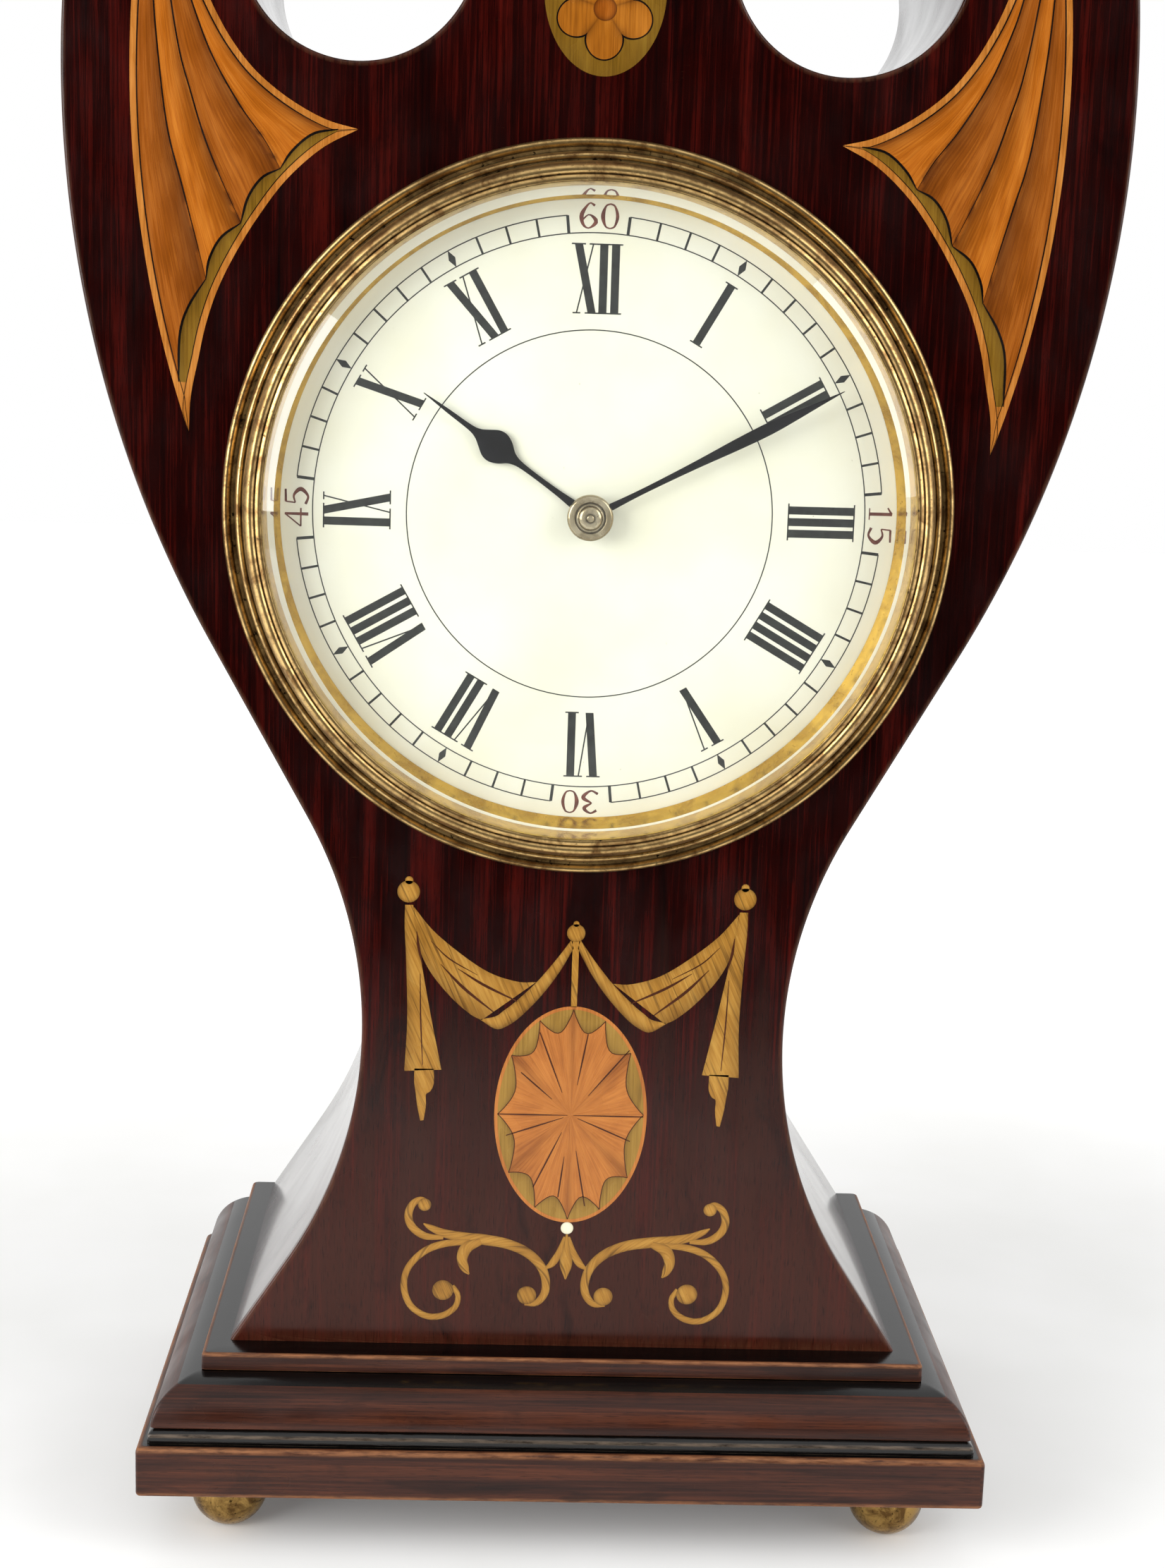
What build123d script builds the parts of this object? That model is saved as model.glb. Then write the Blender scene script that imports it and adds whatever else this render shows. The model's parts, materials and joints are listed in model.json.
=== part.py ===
from build123d import *
import os
from math import acos, asin, atan2, cos, degrees, hypot, pi, radians, sin, sqrt, tan

# Waisted mahogany mantel timepiece, back wound and back set, with a pierced head and a stepped plinth.
# Millimetres. +X is the viewer's right, +Y runs from the dial to the back, +Z is up. The origin is on the
# surface that the feet stand on, under the middle of the base block.

# Plinth, from the floor up
FOOT_HEIGHT = 9.9            # clear height under the base block
FOOT_DIAMETER = 11.6
FOOT_REST_DIAMETER = 3.0     # worn flat that the ball stands on
FOOT_INSET = 12.5            # foot axis in from the block's sides
FOOT_SHANK_DIAMETER = 4.0
FOOT_SHANK_LENGTH = 5.5
BASE_WIDTH = 125.8
BASE_DEPTH = 83.5
BASE_HEIGHT = 7.7
BASE_CORNER = 0.8            # softened arris of the block
BASE_FRONT_OVERHANG = 13.5   # block's front ahead of the case front
LOWER_FILLET_HEIGHT = 2.2
LOWER_FILLET_SETBACK = 1.4   # in from the block, front and sides
OVOLO_HEIGHT = 6.4
OVOLO_SETBACK = 1.9
OVOLO_RADIUS = 6.2
UPPER_FILLET_HEIGHT = 2.6
UPPER_FILLET_SETBACK = 8.6
MOULDING_BACK_PROUD = 1.0    # mouldings behind the case back

# Case outline, measured from the dial centre
CASE_DEPTH = 66.0
DIAL_ABOVE_CASE_FOOT = 126.2
WAIST_BELOW_DIAL = 77.0
WAIST_HALF_WIDTH = 31.3
FLARE_ANGLE = 33.0           # foot flare from the vertical
BELLY_ABOVE_DIAL = 58.5
BELLY_HALF_WIDTH = 74.1
BELLY_SHARE = 0.708          # belly arc's share of the two radii that the flank joins
FLANK_LENGTH = 29.1          # straight run between belly and waist
SHOULDER_RADIUS = 38.0
CROWN_ABOVE_DIAL = 125.0
CROWN_RADIUS = 120.0
PIERCING_RADIUS = 16.4
PIERCING_SHARE = 0.455       # of the belly's half width
PIERCING_ABOVE_DIAL = 77.5
PANEL_THICK = 2.0
VENEER_THICK = 1.0
INLAY_THICK = 0.8

# Inlay, measured from the dial centre
PATERA_ABOVE = 71.7
PATERA_RX = 8.4
PATERA_RY = 11.6
SHELL_BELOW = 89.4
SHELL_RX = 11.4
SHELL_RY = 16.9
FAN_INSET = 9.4                     # outer edge in from the case side, which it follows
FAN_LOW = 10.1
FAN_TOP = 96.0
FAN_INNER_TIP = (0.456, 52.0)       # share of the belly's half width, then height
FAN_DIAL_EDGE = (0.709, 30.0)       # middle of the edge that runs round the bezel
FAN_UNDER_PIERCING = (0.629, 58.3)
FAN_BESIDE_PIERCING = (0.734, 68.3)
FAN_UPPER_EDGE = (0.791, 81.0)
SWAG_BALL = (24.8, -55.8)
SWAG_BALL_RADIUS = 1.5
SWAG_MIDDLE = -61.3
SWAG_DIP = (11.5, -76.2)
SWAG_BAND = 7.0
SWAG_TAIL_END = -90.8
SWAG_TAIL_WIDTH = 3.6
SWAG_STEM_WIDTH = 1.0
PEARL_BELOW = 107.3
PEARL_RADIUS = 0.8
LEAF_LENGTH = 6.2
LEAF_WIDTH = 2.0
SCROLL_EYE = (18.0, -116.6)
SCROLL_RADIUS = 6.0
SCROLL_INNER_EYE = (5.4, -117.0)
SCROLL_INNER_RADIUS = 2.6
SCROLL_TIP = (22.4, -104.2)
SCROLL_BAND = 1.5
SCROLL_START = 120.0         # where the big curl leaves its stem
SCROLL_END = -150.0
SCROLL_INNER_START = 60.0
SCROLL_INNER_END = 300.0
CURVE_STEPS = 24

# Dial head, depths measured back from the case front
BEZEL_RADIUS = 52.0
FLANGE_THICK = 1.6
FLANGE_INNER_RADIUS = 46.0
FLANGE_SHOW = 1.4            # width of flange that shows round the moulded ring
BEZEL_GAP = 0.7              # shadow groove between flange and ring
BEZEL_HEIGHT = 6.6           # ring's crest ahead of the case front
BEZEL_APERTURE = 45.8
GLASS_RADIUS = 47.2
GLASS_THICK = 2.2
GLASS_RISE = 3.4
GLASS_BEVEL = 4.3            # width of the ground bevel round the rim
GLASS_BEVEL_DROP = 2.5
GLASS_SEAT = 3.2             # glass rim's back ahead of the case front
SIGHT_RING_THICK = 0.6
DIAL_RADIUS = 44.0
DIAL_CROWN = 1.8
DIAL_RIM_DEPTH = 0.6
DIAL_THICK = 1.4
DIAL_HOLE_RADIUS = 2.7
DIAL_PLATE_THICK = 1.0
DRUM_RADIUS = 45.0
DRUM_WALL = 0.8
DRUM_LENGTH = 50.0
DRUM_LIP = 2.5
REAR_CAP_THICK = 1.0
BORE_CLEARANCE = 0.2
SEAT_CLEARANCE = 0.1
RUNNING_CLEARANCE = 0.04
AIR = 0.3                    # least gap between pieces that pass each other

# Movement
MOTION_SPACE = 5.5           # dial plate to front plate
PLATE_THICK = 2.0
PLATE_GAP = 20.0
PILLAR_RADIUS = 2.2
PILLAR_CIRCLE = 36.0
PILLAR_TURNS = (-75.0, 75.0, 180.0)    # from the barrel's direction
POST_RADIUS = 1.4
POST_CIRCLE = 33.0
POST_TURNS = (90.0, 210.0, 330.0)
PRESSURE_ANGLE = 25.0
ADDENDUM = 0.85
DEDENDUM = 1.2
BACKLASH = 0.3
FLANK_STEPS = 4
MESH_CLEARANCE = 0.03
GREAT_TEETH = 80
CENTRE_PINION_LEAVES = 10
GREAT_MODULE = 0.48
CENTRE_TEETH = 80
THIRD_PINION_LEAVES = 10
CENTRE_MODULE = 0.36
THIRD_TEETH = 75
FOURTH_PINION_LEAVES = 10
THIRD_MODULE = 0.32
FOURTH_TEETH = 80
ESCAPE_PINION_LEAVES = 10
FOURTH_MODULE = 0.2
CANNON_LEAVES = 12
MINUTE_TEETH = 36
CANNON_MODULE = 0.35
MINUTE_PINION_LEAVES = 10
HOUR_TEETH = 40
BARREL_DIRECTION = 225.0     # from the centre arbor, seen from the front, degrees
THIRD_DIRECTION = 20.0
FOURTH_DIRECTION = 100.0     # from the third arbor
ESCAPE_DIRECTION = 150.0     # from the fourth arbor
MINUTE_DIRECTION = 270.0
WHEEL_THICK = 1.0
PINION_LENGTH = 3.0
SPOKES = 5
SPOKE_WIDTH = 1.4
RIM_WIDTH = 1.6
ARBOR_RADIUS = 1.0
PIVOT_RADIUS = 0.6
FINE_ARBOR_RADIUS = 0.45
FINE_PIVOT_RADIUS = 0.25
CENTRE_ARBOR_RADIUS = 1.25
CENTRE_HUB_RADIUS = 3.2
FRONT_ARBOR_RADIUS = 1.0
CANNON_PIPE_RADIUS = 1.6
HOUR_PIPE_WALL = 0.55
BARREL_LENGTH = 13.9
BARREL_RADIUS = 17.5
BARREL_WALL = 1.0
GREAT_WHEEL_THICK = 2.0
BARREL_ARBOR_RADIUS = 3.0
WINDING_ARBOR_RADIUS = 2.0
SPRING_THICK = 0.5
SPRING_TURNS = 9
RATCHET_RADIUS = 6.5
RATCHET_TEETH = 18
RATCHET_DEPTH = 0.9
RATCHET_THICK = 1.4
CLICK_PIVOT_RADIUS = 0.8
CLICK_REACH = 5.0
CLICK_DIRECTION = 300.0      # from the barrel arbor
CLICK_THICK = 1.2
PLATFORM_GAP = 3.9           # back plate to platform
PLATFORM_THICK = 1.2
PLATFORM_MARGIN = 3.2
ESCAPE_RADIUS = 3.6
ESCAPE_TEETH = 15
ESCAPE_DEPTH = 0.9
LEVER_REACH = 4.8            # escape arbor to lever pivot
FORK_REACH = 7.6             # lever pivot to balance staff
LEVER_THICK = 0.5
PALLET_SPREAD = 60.0         # pallet tips either side of the line of centres
PALLET_STAND_OFF = 0.55
ROLLER_RADIUS = 1.0
BALANCE_RADIUS = 7.5
BALANCE_RIM = 1.0
BALANCE_THICK = 1.0
BALANCE_ABOVE_PLATFORM = 1.4
STAFF_RADIUS = 0.5
COLLET_RADIUS = 0.9
HAIRSPRING_THICK = 0.15
HAIRSPRING_TURNS = 4
HAIRSPRING_RADIUS = 3.6
HAIRSPRING_HEIGHT = 0.6
COCK_THICK = 1.4
COCK_WIDTH = 5.0
COCK_CLEAR = 2.6             # balance rim's back to the cock's underside
INDEX_REACH = 9.0
INDEX_THICK = 0.6
INDEX_TRAVEL = 25.0          # degrees each way
INDEX_PIN_RADIUS = 0.6

# Hands, at ten past ten
MINUTE_ANGLE = 62.0
HOUR_ANGLE = 305.0
MINUTE_LENGTH = 39.5
HOUR_LENGTH = 29.0
HAND_THICK = 0.4
HAND_BOSS_RADIUS = 2.6
HOUR_BULGE_AT = 16.5
HOUR_BULGE = 2.3
MINUTE_SWELL_AT = 28.0
MINUTE_SWELL = 0.85
HAND_STEM = 0.35
HAND_SWELL_FOOT = 3.0        # the swelling's foot and neck, in swellings from its middle
HAND_SWELL_NECK = 2.4
HAND_SWELL_SHAPE = ((-1.0, 0.75), (0.0, 1.0), (1.0, 0.6))   # swellings from the middle, share of its width
HAND_GAP = 0.9
NUT_RADIUS = 3.3
NUT_HEIGHT = 2.0

# Back
KNOB_RADIUS = 5.5
KNOB_THICK = 5.0
KEY_SPAN = 12.0
KEY_LOBE_RADIUS = 4.6
KEY_LOBE_HOLE = 2.1
KEY_BOSS_RADIUS = 3.4
KEY_BOSS_LENGTH = 7.0
KEY_THICK = 1.6
BACK_SPACE = 1.6             # rear cap to knob and key
RING_INNER_RADIUS = 43.0
RING_WIDTH = 8.5
RING_THICK = 1.2
DOOR_LAP = 3.0               # door over the ring's inner edge
DOOR_THICK = 1.4
DOOR_GAP = 0.2
DOOR_PULL_RADIUS = 2.5
DOOR_PULL_HEIGHT = 1.1
HINGE_RADIUS = 1.1
HINGE_PIN_RADIUS = 0.5
HINGE_KNUCKLE = 4.0
HINGE_ASIDE = 2.4            # hinge axis outside the door's edge
SCREW_HEAD_RADIUS = 1.6
SCREW_HEAD_HEIGHT = 0.7
SCREW_SHANK_RADIUS = 0.8
SCREW_LENGTH = 5.0
SCREW_COUNT = 4
SCREW_FIRST = 45.0

# Levels worked out from the sizes above
BASE_BOTTOM = FOOT_HEIGHT
BASE_TOP = BASE_BOTTOM + BASE_HEIGHT
LOWER_FILLET_TOP = BASE_TOP + LOWER_FILLET_HEIGHT
OVOLO_TOP = LOWER_FILLET_TOP + OVOLO_HEIGHT
CASE_BOTTOM = OVOLO_TOP + UPPER_FILLET_HEIGHT
DIAL_Z = CASE_BOTTOM + DIAL_ABOVE_CASE_FOOT
BASE_FRONT = -BASE_DEPTH / 2
CASE_FRONT = BASE_FRONT + BASE_FRONT_OVERHANG
CASE_BACK = CASE_FRONT + CASE_DEPTH
CORE_FRONT = CASE_FRONT + PANEL_THICK
BORE_RADIUS = DRUM_RADIUS + BORE_CLEARANCE
LIP_RADIUS = DRUM_RADIUS + DRUM_LIP
DIAL_RIM_FRONT = CASE_FRONT + DIAL_RIM_DEPTH
DIAL_APEX = DIAL_RIM_FRONT - DIAL_CROWN
DIAL_PLATE_FRONT = DIAL_RIM_FRONT + DIAL_THICK
DIAL_PLATE_BACK = DIAL_PLATE_FRONT + DIAL_PLATE_THICK
FRONT_PLATE = DIAL_PLATE_BACK + MOTION_SPACE
FRONT_PLATE_BACK = FRONT_PLATE + PLATE_THICK
BACK_PLATE = FRONT_PLATE_BACK + PLATE_GAP
BACK_PLATE_BACK = BACK_PLATE + PLATE_THICK
PLATFORM = BACK_PLATE_BACK + PLATFORM_GAP
PLATFORM_BACK = PLATFORM + PLATFORM_THICK
DRUM_BACK = CASE_FRONT + DRUM_LENGTH
REAR_CAP = DRUM_BACK - REAR_CAP_THICK
KNOB_FRONT = DRUM_BACK + BACK_SPACE
FLANK_RISE = BELLY_ABOVE_DIAL + WAIST_BELOW_DIAL
FLANK_RUN = BELLY_HALF_WIDTH - WAIST_HALF_WIDTH
FLANK_RADII = (FLANK_RISE ** 2 + FLANK_RUN ** 2 - FLANK_LENGTH ** 2) / (2 * FLANK_RUN)
BELLY_RADIUS = BELLY_SHARE * FLANK_RADII
WAIST_RADIUS = FLANK_RADII - BELLY_RADIUS
PIERCING_ASIDE = PIERCING_SHARE * BELLY_HALF_WIDTH
RING_BACK = CASE_BACK + RING_THICK
RING_RADIUS = RING_INNER_RADIUS + RING_WIDTH
DOOR_RADIUS = RING_INNER_RADIUS + DOOR_LAP
DOOR_FRONT = RING_BACK + DOOR_GAP
DOOR_BACK = DOOR_FRONT + DOOR_THICK
HINGE_Y = RING_BACK + HINGE_RADIUS + SEAT_CLEARANCE
HINGE_X = -(DOOR_RADIUS + HINGE_ASIDE)
DRUM_INNER = DRUM_RADIUS - DRUM_WALL
PLATE_RADIUS = DRUM_INNER - SEAT_CLEARANCE
MINUTE_MODULE = CANNON_MODULE * (CANNON_LEAVES + MINUTE_TEETH) / (MINUTE_PINION_LEAVES + HOUR_TEETH)
DIAL_AXIS = Axis((0, 0, DIAL_Z), (0, 1, 0))


def polar(radius, angle):
    """Point at a distance and an angle in degrees from the dial centre, seen from the front."""
    return radius * cos(radians(angle)), radius * sin(radians(angle))


def shifted(start, radius, angle):
    """Point reached from another by a distance along an angle in degrees."""
    dx, dz = polar(radius, angle)
    return start[0] + dx, start[1] + dz


def mesh_distance(wheel, pinion, module):
    """Distance between two arbors whose wheels mesh."""
    return (wheel + pinion) * module / 2 + MESH_CLEARANCE


CENTRE = (0.0, 0.0)
BARREL_AT = polar(mesh_distance(GREAT_TEETH, CENTRE_PINION_LEAVES, GREAT_MODULE), BARREL_DIRECTION)
THIRD_AT = polar(mesh_distance(CENTRE_TEETH, THIRD_PINION_LEAVES, CENTRE_MODULE), THIRD_DIRECTION)
FOURTH_AT = shifted(
    THIRD_AT, mesh_distance(THIRD_TEETH, FOURTH_PINION_LEAVES, THIRD_MODULE), FOURTH_DIRECTION)
ESCAPE_AT = shifted(
    FOURTH_AT, mesh_distance(FOURTH_TEETH, ESCAPE_PINION_LEAVES, FOURTH_MODULE), ESCAPE_DIRECTION)
LEVER_AT = (ESCAPE_AT[0] - LEVER_REACH, ESCAPE_AT[1])
BALANCE_AT = (LEVER_AT[0] - FORK_REACH, LEVER_AT[1])
MINUTE_AT = polar(mesh_distance(MINUTE_TEETH, CANNON_LEAVES, CANNON_MODULE), MINUTE_DIRECTION)
PILLARS_AT = [polar(PILLAR_CIRCLE, BARREL_DIRECTION + turn) for turn in PILLAR_TURNS]
POSTS_AT = [polar(POST_CIRCLE, turn) for turn in POST_TURNS]


def front_plane(depth):
    """Sketch plane that faces the viewer, centred on the dial."""
    return Plane(origin=(0, depth, DIAL_Z), x_dir=(1, 0, 0), z_dir=(0, -1, 0))


def slab(sketch, front, back):
    """Plate of a sketch in dial coordinates, between two depths."""
    return extrude(front_plane(back) * sketch, amount=back - front, dir=(0, -1, 0))


def disc(at, radius, front, back):
    """Round bar along the depth axis."""
    return slab(Pos(at[0], at[1]) * Circle(radius), front, back)


def polygon(points):
    """Flat face through a list of points, facing up whichever way they run."""
    pairs = zip(points, points[1:] + points[:1])
    area = sum(a[0] * b[1] - b[0] * a[1] for a, b in pairs)
    ordered = points if area > 0 else points[::-1]
    return Face(Wire.make_polygon([(x, z, 0) for x, z in ordered]))


def turned(points):
    """Body turned about the dial axis from points of radius and depth."""
    profile = Face(Wire.make_polygon([(radius, depth, 0) for radius, depth in points]))
    return revolve(Plane.XY.offset(DIAL_Z) * profile, axis=DIAL_AXIS)


def box(x_low, x_high, y_low, y_high, z_low, z_high):
    """Straight block between two corners."""
    size = (x_high - x_low, y_high - y_low, z_high - z_low)
    middle = ((x_low + x_high) / 2, (y_low + y_high) / 2, (z_low + z_high) / 2)
    return Pos(*middle) * Box(*size)


def gear(teeth, module, tooth_at):
    """Involute gear face with one tooth centred on an angle in degrees."""
    pitch = teeth * module / 2
    base = pitch * cos(radians(PRESSURE_ANGLE))
    tip = pitch + ADDENDUM * module
    root = pitch - DEDENDUM * module
    start = max(root, base)
    half = (pi * module / 2 - BACKLASH * module / 2) / (2 * pitch)
    spread = tan(radians(PRESSURE_ANGLE)) - radians(PRESSURE_ANGLE)

    def half_angle(radius):
        roll = acos(min(1.0, base / radius))
        return half + spread - (tan(roll) - roll)

    radii = [start + (tip - start) * step / FLANK_STEPS for step in range(FLANK_STEPS + 1)]
    flank = [(radius, half_angle(radius)) for radius in radii]
    if root < start:
        flank.insert(0, (root, half_angle(start)))
    points = []
    for tooth in range(teeth):
        middle = radians(tooth_at) + 2 * pi * tooth / teeth
        points += [(r * cos(middle - a), r * sin(middle - a)) for r, a in flank]
        points += [(r * cos(middle + a), r * sin(middle + a)) for r, a in reversed(flank)]
    return polygon(points)


def saw_wheel(radius, teeth, depth):
    """Face of a wheel with raked saw teeth."""
    points = []
    for tooth in range(teeth):
        points.append(polar(radius, 360 * tooth / teeth))
        points.append(polar(radius - depth, 360 * tooth / teeth))
    return polygon(points)


def windows(hub, rim):
    """Openings between the spokes of a wheel."""
    bars = [Rot(0, 0, 360 * n / SPOKES) * Pos(rim / 2, 0) * Rectangle(rim + hub, SPOKE_WIDTH)
            for n in range(SPOKES)]
    openings = Circle(rim) - Circle(hub)
    for bar in bars:
        openings -= bar
    return openings


def gear_at(at, teeth, module, tooth_at, front, back):
    """Toothed plate on an arbor."""
    return slab(Pos(at[0], at[1]) * gear(teeth, module, tooth_at), front, back)


def spoked_wheel(at, teeth, module, tooth_at, front, hub):
    """Toothed wheel with its crossings cut out."""
    rim = teeth * module / 2 - DEDENDUM * module - RIM_WIDTH
    wheel = gear_at(at, teeth, module, tooth_at, front, front + WHEEL_THICK)
    return wheel - slab(Pos(at[0], at[1]) * windows(hub, rim), front, front + WHEEL_THICK)


def gap_opposite(direction, leaves):
    """Angle of a tooth that leaves a gap facing back along a line of centres."""
    return direction + 180 + 180 / leaves


def spiral(inner, outer, thick, turns):
    """Face of a strip wound in a plane spiral."""
    steps = turns * CURVE_STEPS
    path = []
    for step in range(steps + 1):
        share = step / steps
        path.append((inner + thick / 2 + (outer - inner - thick) * share, 360 * turns * share))
    inside = [polar(radius - thick / 2, angle) for radius, angle in path]
    outside = [polar(radius + thick / 2, angle) for radius, angle in path]
    return polygon(inside + outside[::-1])


def arc_about(centre, radius, start, end):
    """Arc of a circle from one point to another, the short way."""
    first = atan2(start[1] - centre[1], start[0] - centre[0])
    last = atan2(end[1] - centre[1], end[0] - centre[0])
    turn = (last - first + pi) % (2 * pi) - pi
    middle = first + turn / 2
    mid_point = (centre[0] + radius * cos(middle), centre[1] + radius * sin(middle))
    return ThreePointArc(start, mid_point, end)


def toward(start, end, distance):
    """Point at a distance from a start along the line to an end."""
    span = hypot(end[0] - start[0], end[1] - start[1])
    return (start[0] + (end[0] - start[0]) * distance / span,
            start[1] + (end[1] - start[1]) * distance / span)


def shoulder_centre(belly, crown):
    """Centre of the arc that touches the belly arc and the crown arc from inside."""
    to_belly = BELLY_RADIUS - SHOULDER_RADIUS
    to_crown = CROWN_RADIUS - SHOULDER_RADIUS
    span = hypot(belly[0] - crown[0], belly[1] - crown[1])
    along = (to_crown ** 2 - to_belly ** 2 + span ** 2) / (2 * span)
    aside = sqrt(to_crown ** 2 - along ** 2)
    ux, uz = (belly[0] - crown[0]) / span, (belly[1] - crown[1]) / span
    return crown[0] + ux * along - uz * -aside, crown[1] + uz * along + ux * -aside


def case_outline(inset):
    """Face of the case front, from the flare up to the crown, drawn in by an inset."""
    belly = (BELLY_HALF_WIDTH - BELLY_RADIUS, BELLY_ABOVE_DIAL)
    waist = (WAIST_HALF_WIDTH + WAIST_RADIUS, -WAIST_BELOW_DIAL)
    crown = (0.0, CROWN_ABOVE_DIAL - CROWN_RADIUS)
    shoulder = shoulder_centre(belly, crown)
    belly_r = BELLY_RADIUS - inset
    waist_r = WAIST_RADIUS + inset
    crown_r = CROWN_RADIUS - inset
    span = hypot(waist[0] - belly[0], waist[1] - belly[1])
    lean = atan2(waist[1] - belly[1], waist[0] - belly[0]) + acos((belly_r + waist_r) / span)
    flare = radians(FLARE_ANGLE)
    waist_low = (waist[0] - waist_r * cos(flare), waist[1] - waist_r * sin(flare))
    drop = waist_low[1] + DIAL_ABOVE_CASE_FOOT
    foot = (waist_low[0] + drop * tan(flare), -DIAL_ABOVE_CASE_FOOT)
    waist_high = (waist[0] - waist_r * cos(lean), waist[1] - waist_r * sin(lean))
    belly_low = (belly[0] + belly_r * cos(lean), belly[1] + belly_r * sin(lean))
    belly_high = toward(belly, shoulder, belly_r)
    crown_side = toward(crown, shoulder, crown_r)
    apex = (0.0, CROWN_ABOVE_DIAL - inset)
    right = [
        Line(foot, waist_low),
        arc_about(waist, waist_r, waist_low, waist_high),
        Line(waist_high, belly_low),
        arc_about(belly, belly_r, belly_low, belly_high),
        arc_about(shoulder, SHOULDER_RADIUS - inset, belly_high, crown_side),
        arc_about(crown, crown_r, crown_side, apex),
    ]
    left = [mirror(edge, about=Plane.YZ) for edge in right]
    return make_face(right + left + [Line((-foot[0], foot[1]), foot)])


def piercings(radius):
    """Faces of the two round piercings in the head."""
    return [Pos(side * PIERCING_ASIDE, PIERCING_ABOVE_DIAL) * Circle(radius) for side in (-1, 1)]


def fan_face():
    """Three-pointed satinwood fan on the right of the dial."""
    belly = (BELLY_HALF_WIDTH - BELLY_RADIUS, BELLY_ABOVE_DIAL)
    radius = BELLY_RADIUS - FAN_INSET
    low, top = [(belly[0] + sqrt(radius ** 2 - (z - belly[1]) ** 2), z) for z in (FAN_LOW, FAN_TOP)]
    tip, by_dial, under, beside, upper = [
        (share * BELLY_HALF_WIDTH, z) for share, z in (
            FAN_INNER_TIP, FAN_DIAL_EDGE, FAN_UNDER_PIERCING, FAN_BESIDE_PIERCING, FAN_UPPER_EDGE)]
    return make_face([
        ThreePointArc(low, by_dial, tip),
        ThreePointArc(tip, under, beside),
        ThreePointArc(beside, upper, top),
        arc_about(belly, radius, top, low),
    ])


def oval(above, rx, ry):
    """Upright oval on the centre line."""
    return Pos(0, above) * Ellipse(rx, ry)


def sagging(start, end, dip, drop):
    """Points of a cloth edge that hangs between two points through a dip, moved down by a drop."""
    points = []
    for step in range(CURVE_STEPS + 1):
        t = step / CURVE_STEPS
        x = (1 - t) ** 2 * start[0] + 2 * t * (1 - t) * dip[0] + t ** 2 * end[0]
        z = (1 - t) ** 2 * start[1] + 2 * t * (1 - t) * dip[1] + t ** 2 * end[1]
        points.append((x, z - drop * 4 * t * (1 - t)))
    return points


def swag_faces():
    """Right half of the swag: ball, hanging festoon and tail."""
    middle = (SWAG_STEM_WIDTH, SWAG_MIDDLE - SWAG_STEM_WIDTH)
    bend = (SWAG_DIP[0], 2 * SWAG_DIP[1] - (SWAG_BALL[1] + middle[1]) / 2 + 2 * SWAG_BAND)
    upper = sagging(SWAG_BALL, middle, bend, 0)
    lower = sagging(SWAG_BALL, middle, bend, SWAG_BAND)
    tail_top = SWAG_BALL[1]
    tail_x = SWAG_BALL[0] - SWAG_TAIL_WIDTH / 2
    tail = [(SWAG_BALL[0] - SWAG_STEM_WIDTH / 2, tail_top),
            (SWAG_BALL[0] + SWAG_STEM_WIDTH / 2, tail_top),
            (tail_x + SWAG_TAIL_WIDTH / 2, SWAG_TAIL_END + SWAG_TAIL_WIDTH),
            (tail_x, SWAG_TAIL_END),
            (tail_x - SWAG_TAIL_WIDTH / 2, SWAG_TAIL_END + SWAG_TAIL_WIDTH)]
    ball = Pos(*SWAG_BALL) * Circle(SWAG_BALL_RADIUS)
    return Sketch() + ball + polygon(upper + lower[-2:0:-1]) + polygon(tail)


def ring_arc(eye, radius, first, last):
    """Curled band about an eye between two angles in degrees."""
    angles = [first + (last - first) * step / CURVE_STEPS for step in range(CURVE_STEPS + 1)]
    outside = [shifted(eye, radius, angle) for angle in angles]
    inside = [shifted(eye, radius - SCROLL_BAND, angle) for angle in angles]
    return polygon(outside + inside[::-1])


def scroll_faces():
    """Right half of the scrollwork under the shell oval."""
    top = shifted(SCROLL_EYE, SCROLL_RADIUS, SCROLL_START)
    stem = [top, shifted(SCROLL_EYE, SCROLL_RADIUS - SCROLL_BAND, SCROLL_START),
            (SCROLL_TIP[0] - SCROLL_BAND, SCROLL_TIP[1] - SCROLL_BAND), SCROLL_TIP]
    inner_top = shifted(SCROLL_INNER_EYE, SCROLL_INNER_RADIUS, SCROLL_INNER_START)
    link = [top, shifted(top, SCROLL_BAND, SCROLL_START - 150),
            shifted(inner_top, SCROLL_BAND, SCROLL_INNER_START - 180), inner_top]
    big = ring_arc(SCROLL_EYE, SCROLL_RADIUS, SCROLL_START, SCROLL_END)
    small = ring_arc(SCROLL_INNER_EYE, SCROLL_INNER_RADIUS, SCROLL_INNER_START, SCROLL_INNER_END)
    return Sketch() + big + small + polygon(stem) + polygon(link)


def both_sides(sketch):
    """A sketch and its mirror image about the centre line."""
    return Sketch() + sketch + mirror(sketch, about=Plane.YZ)


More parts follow.
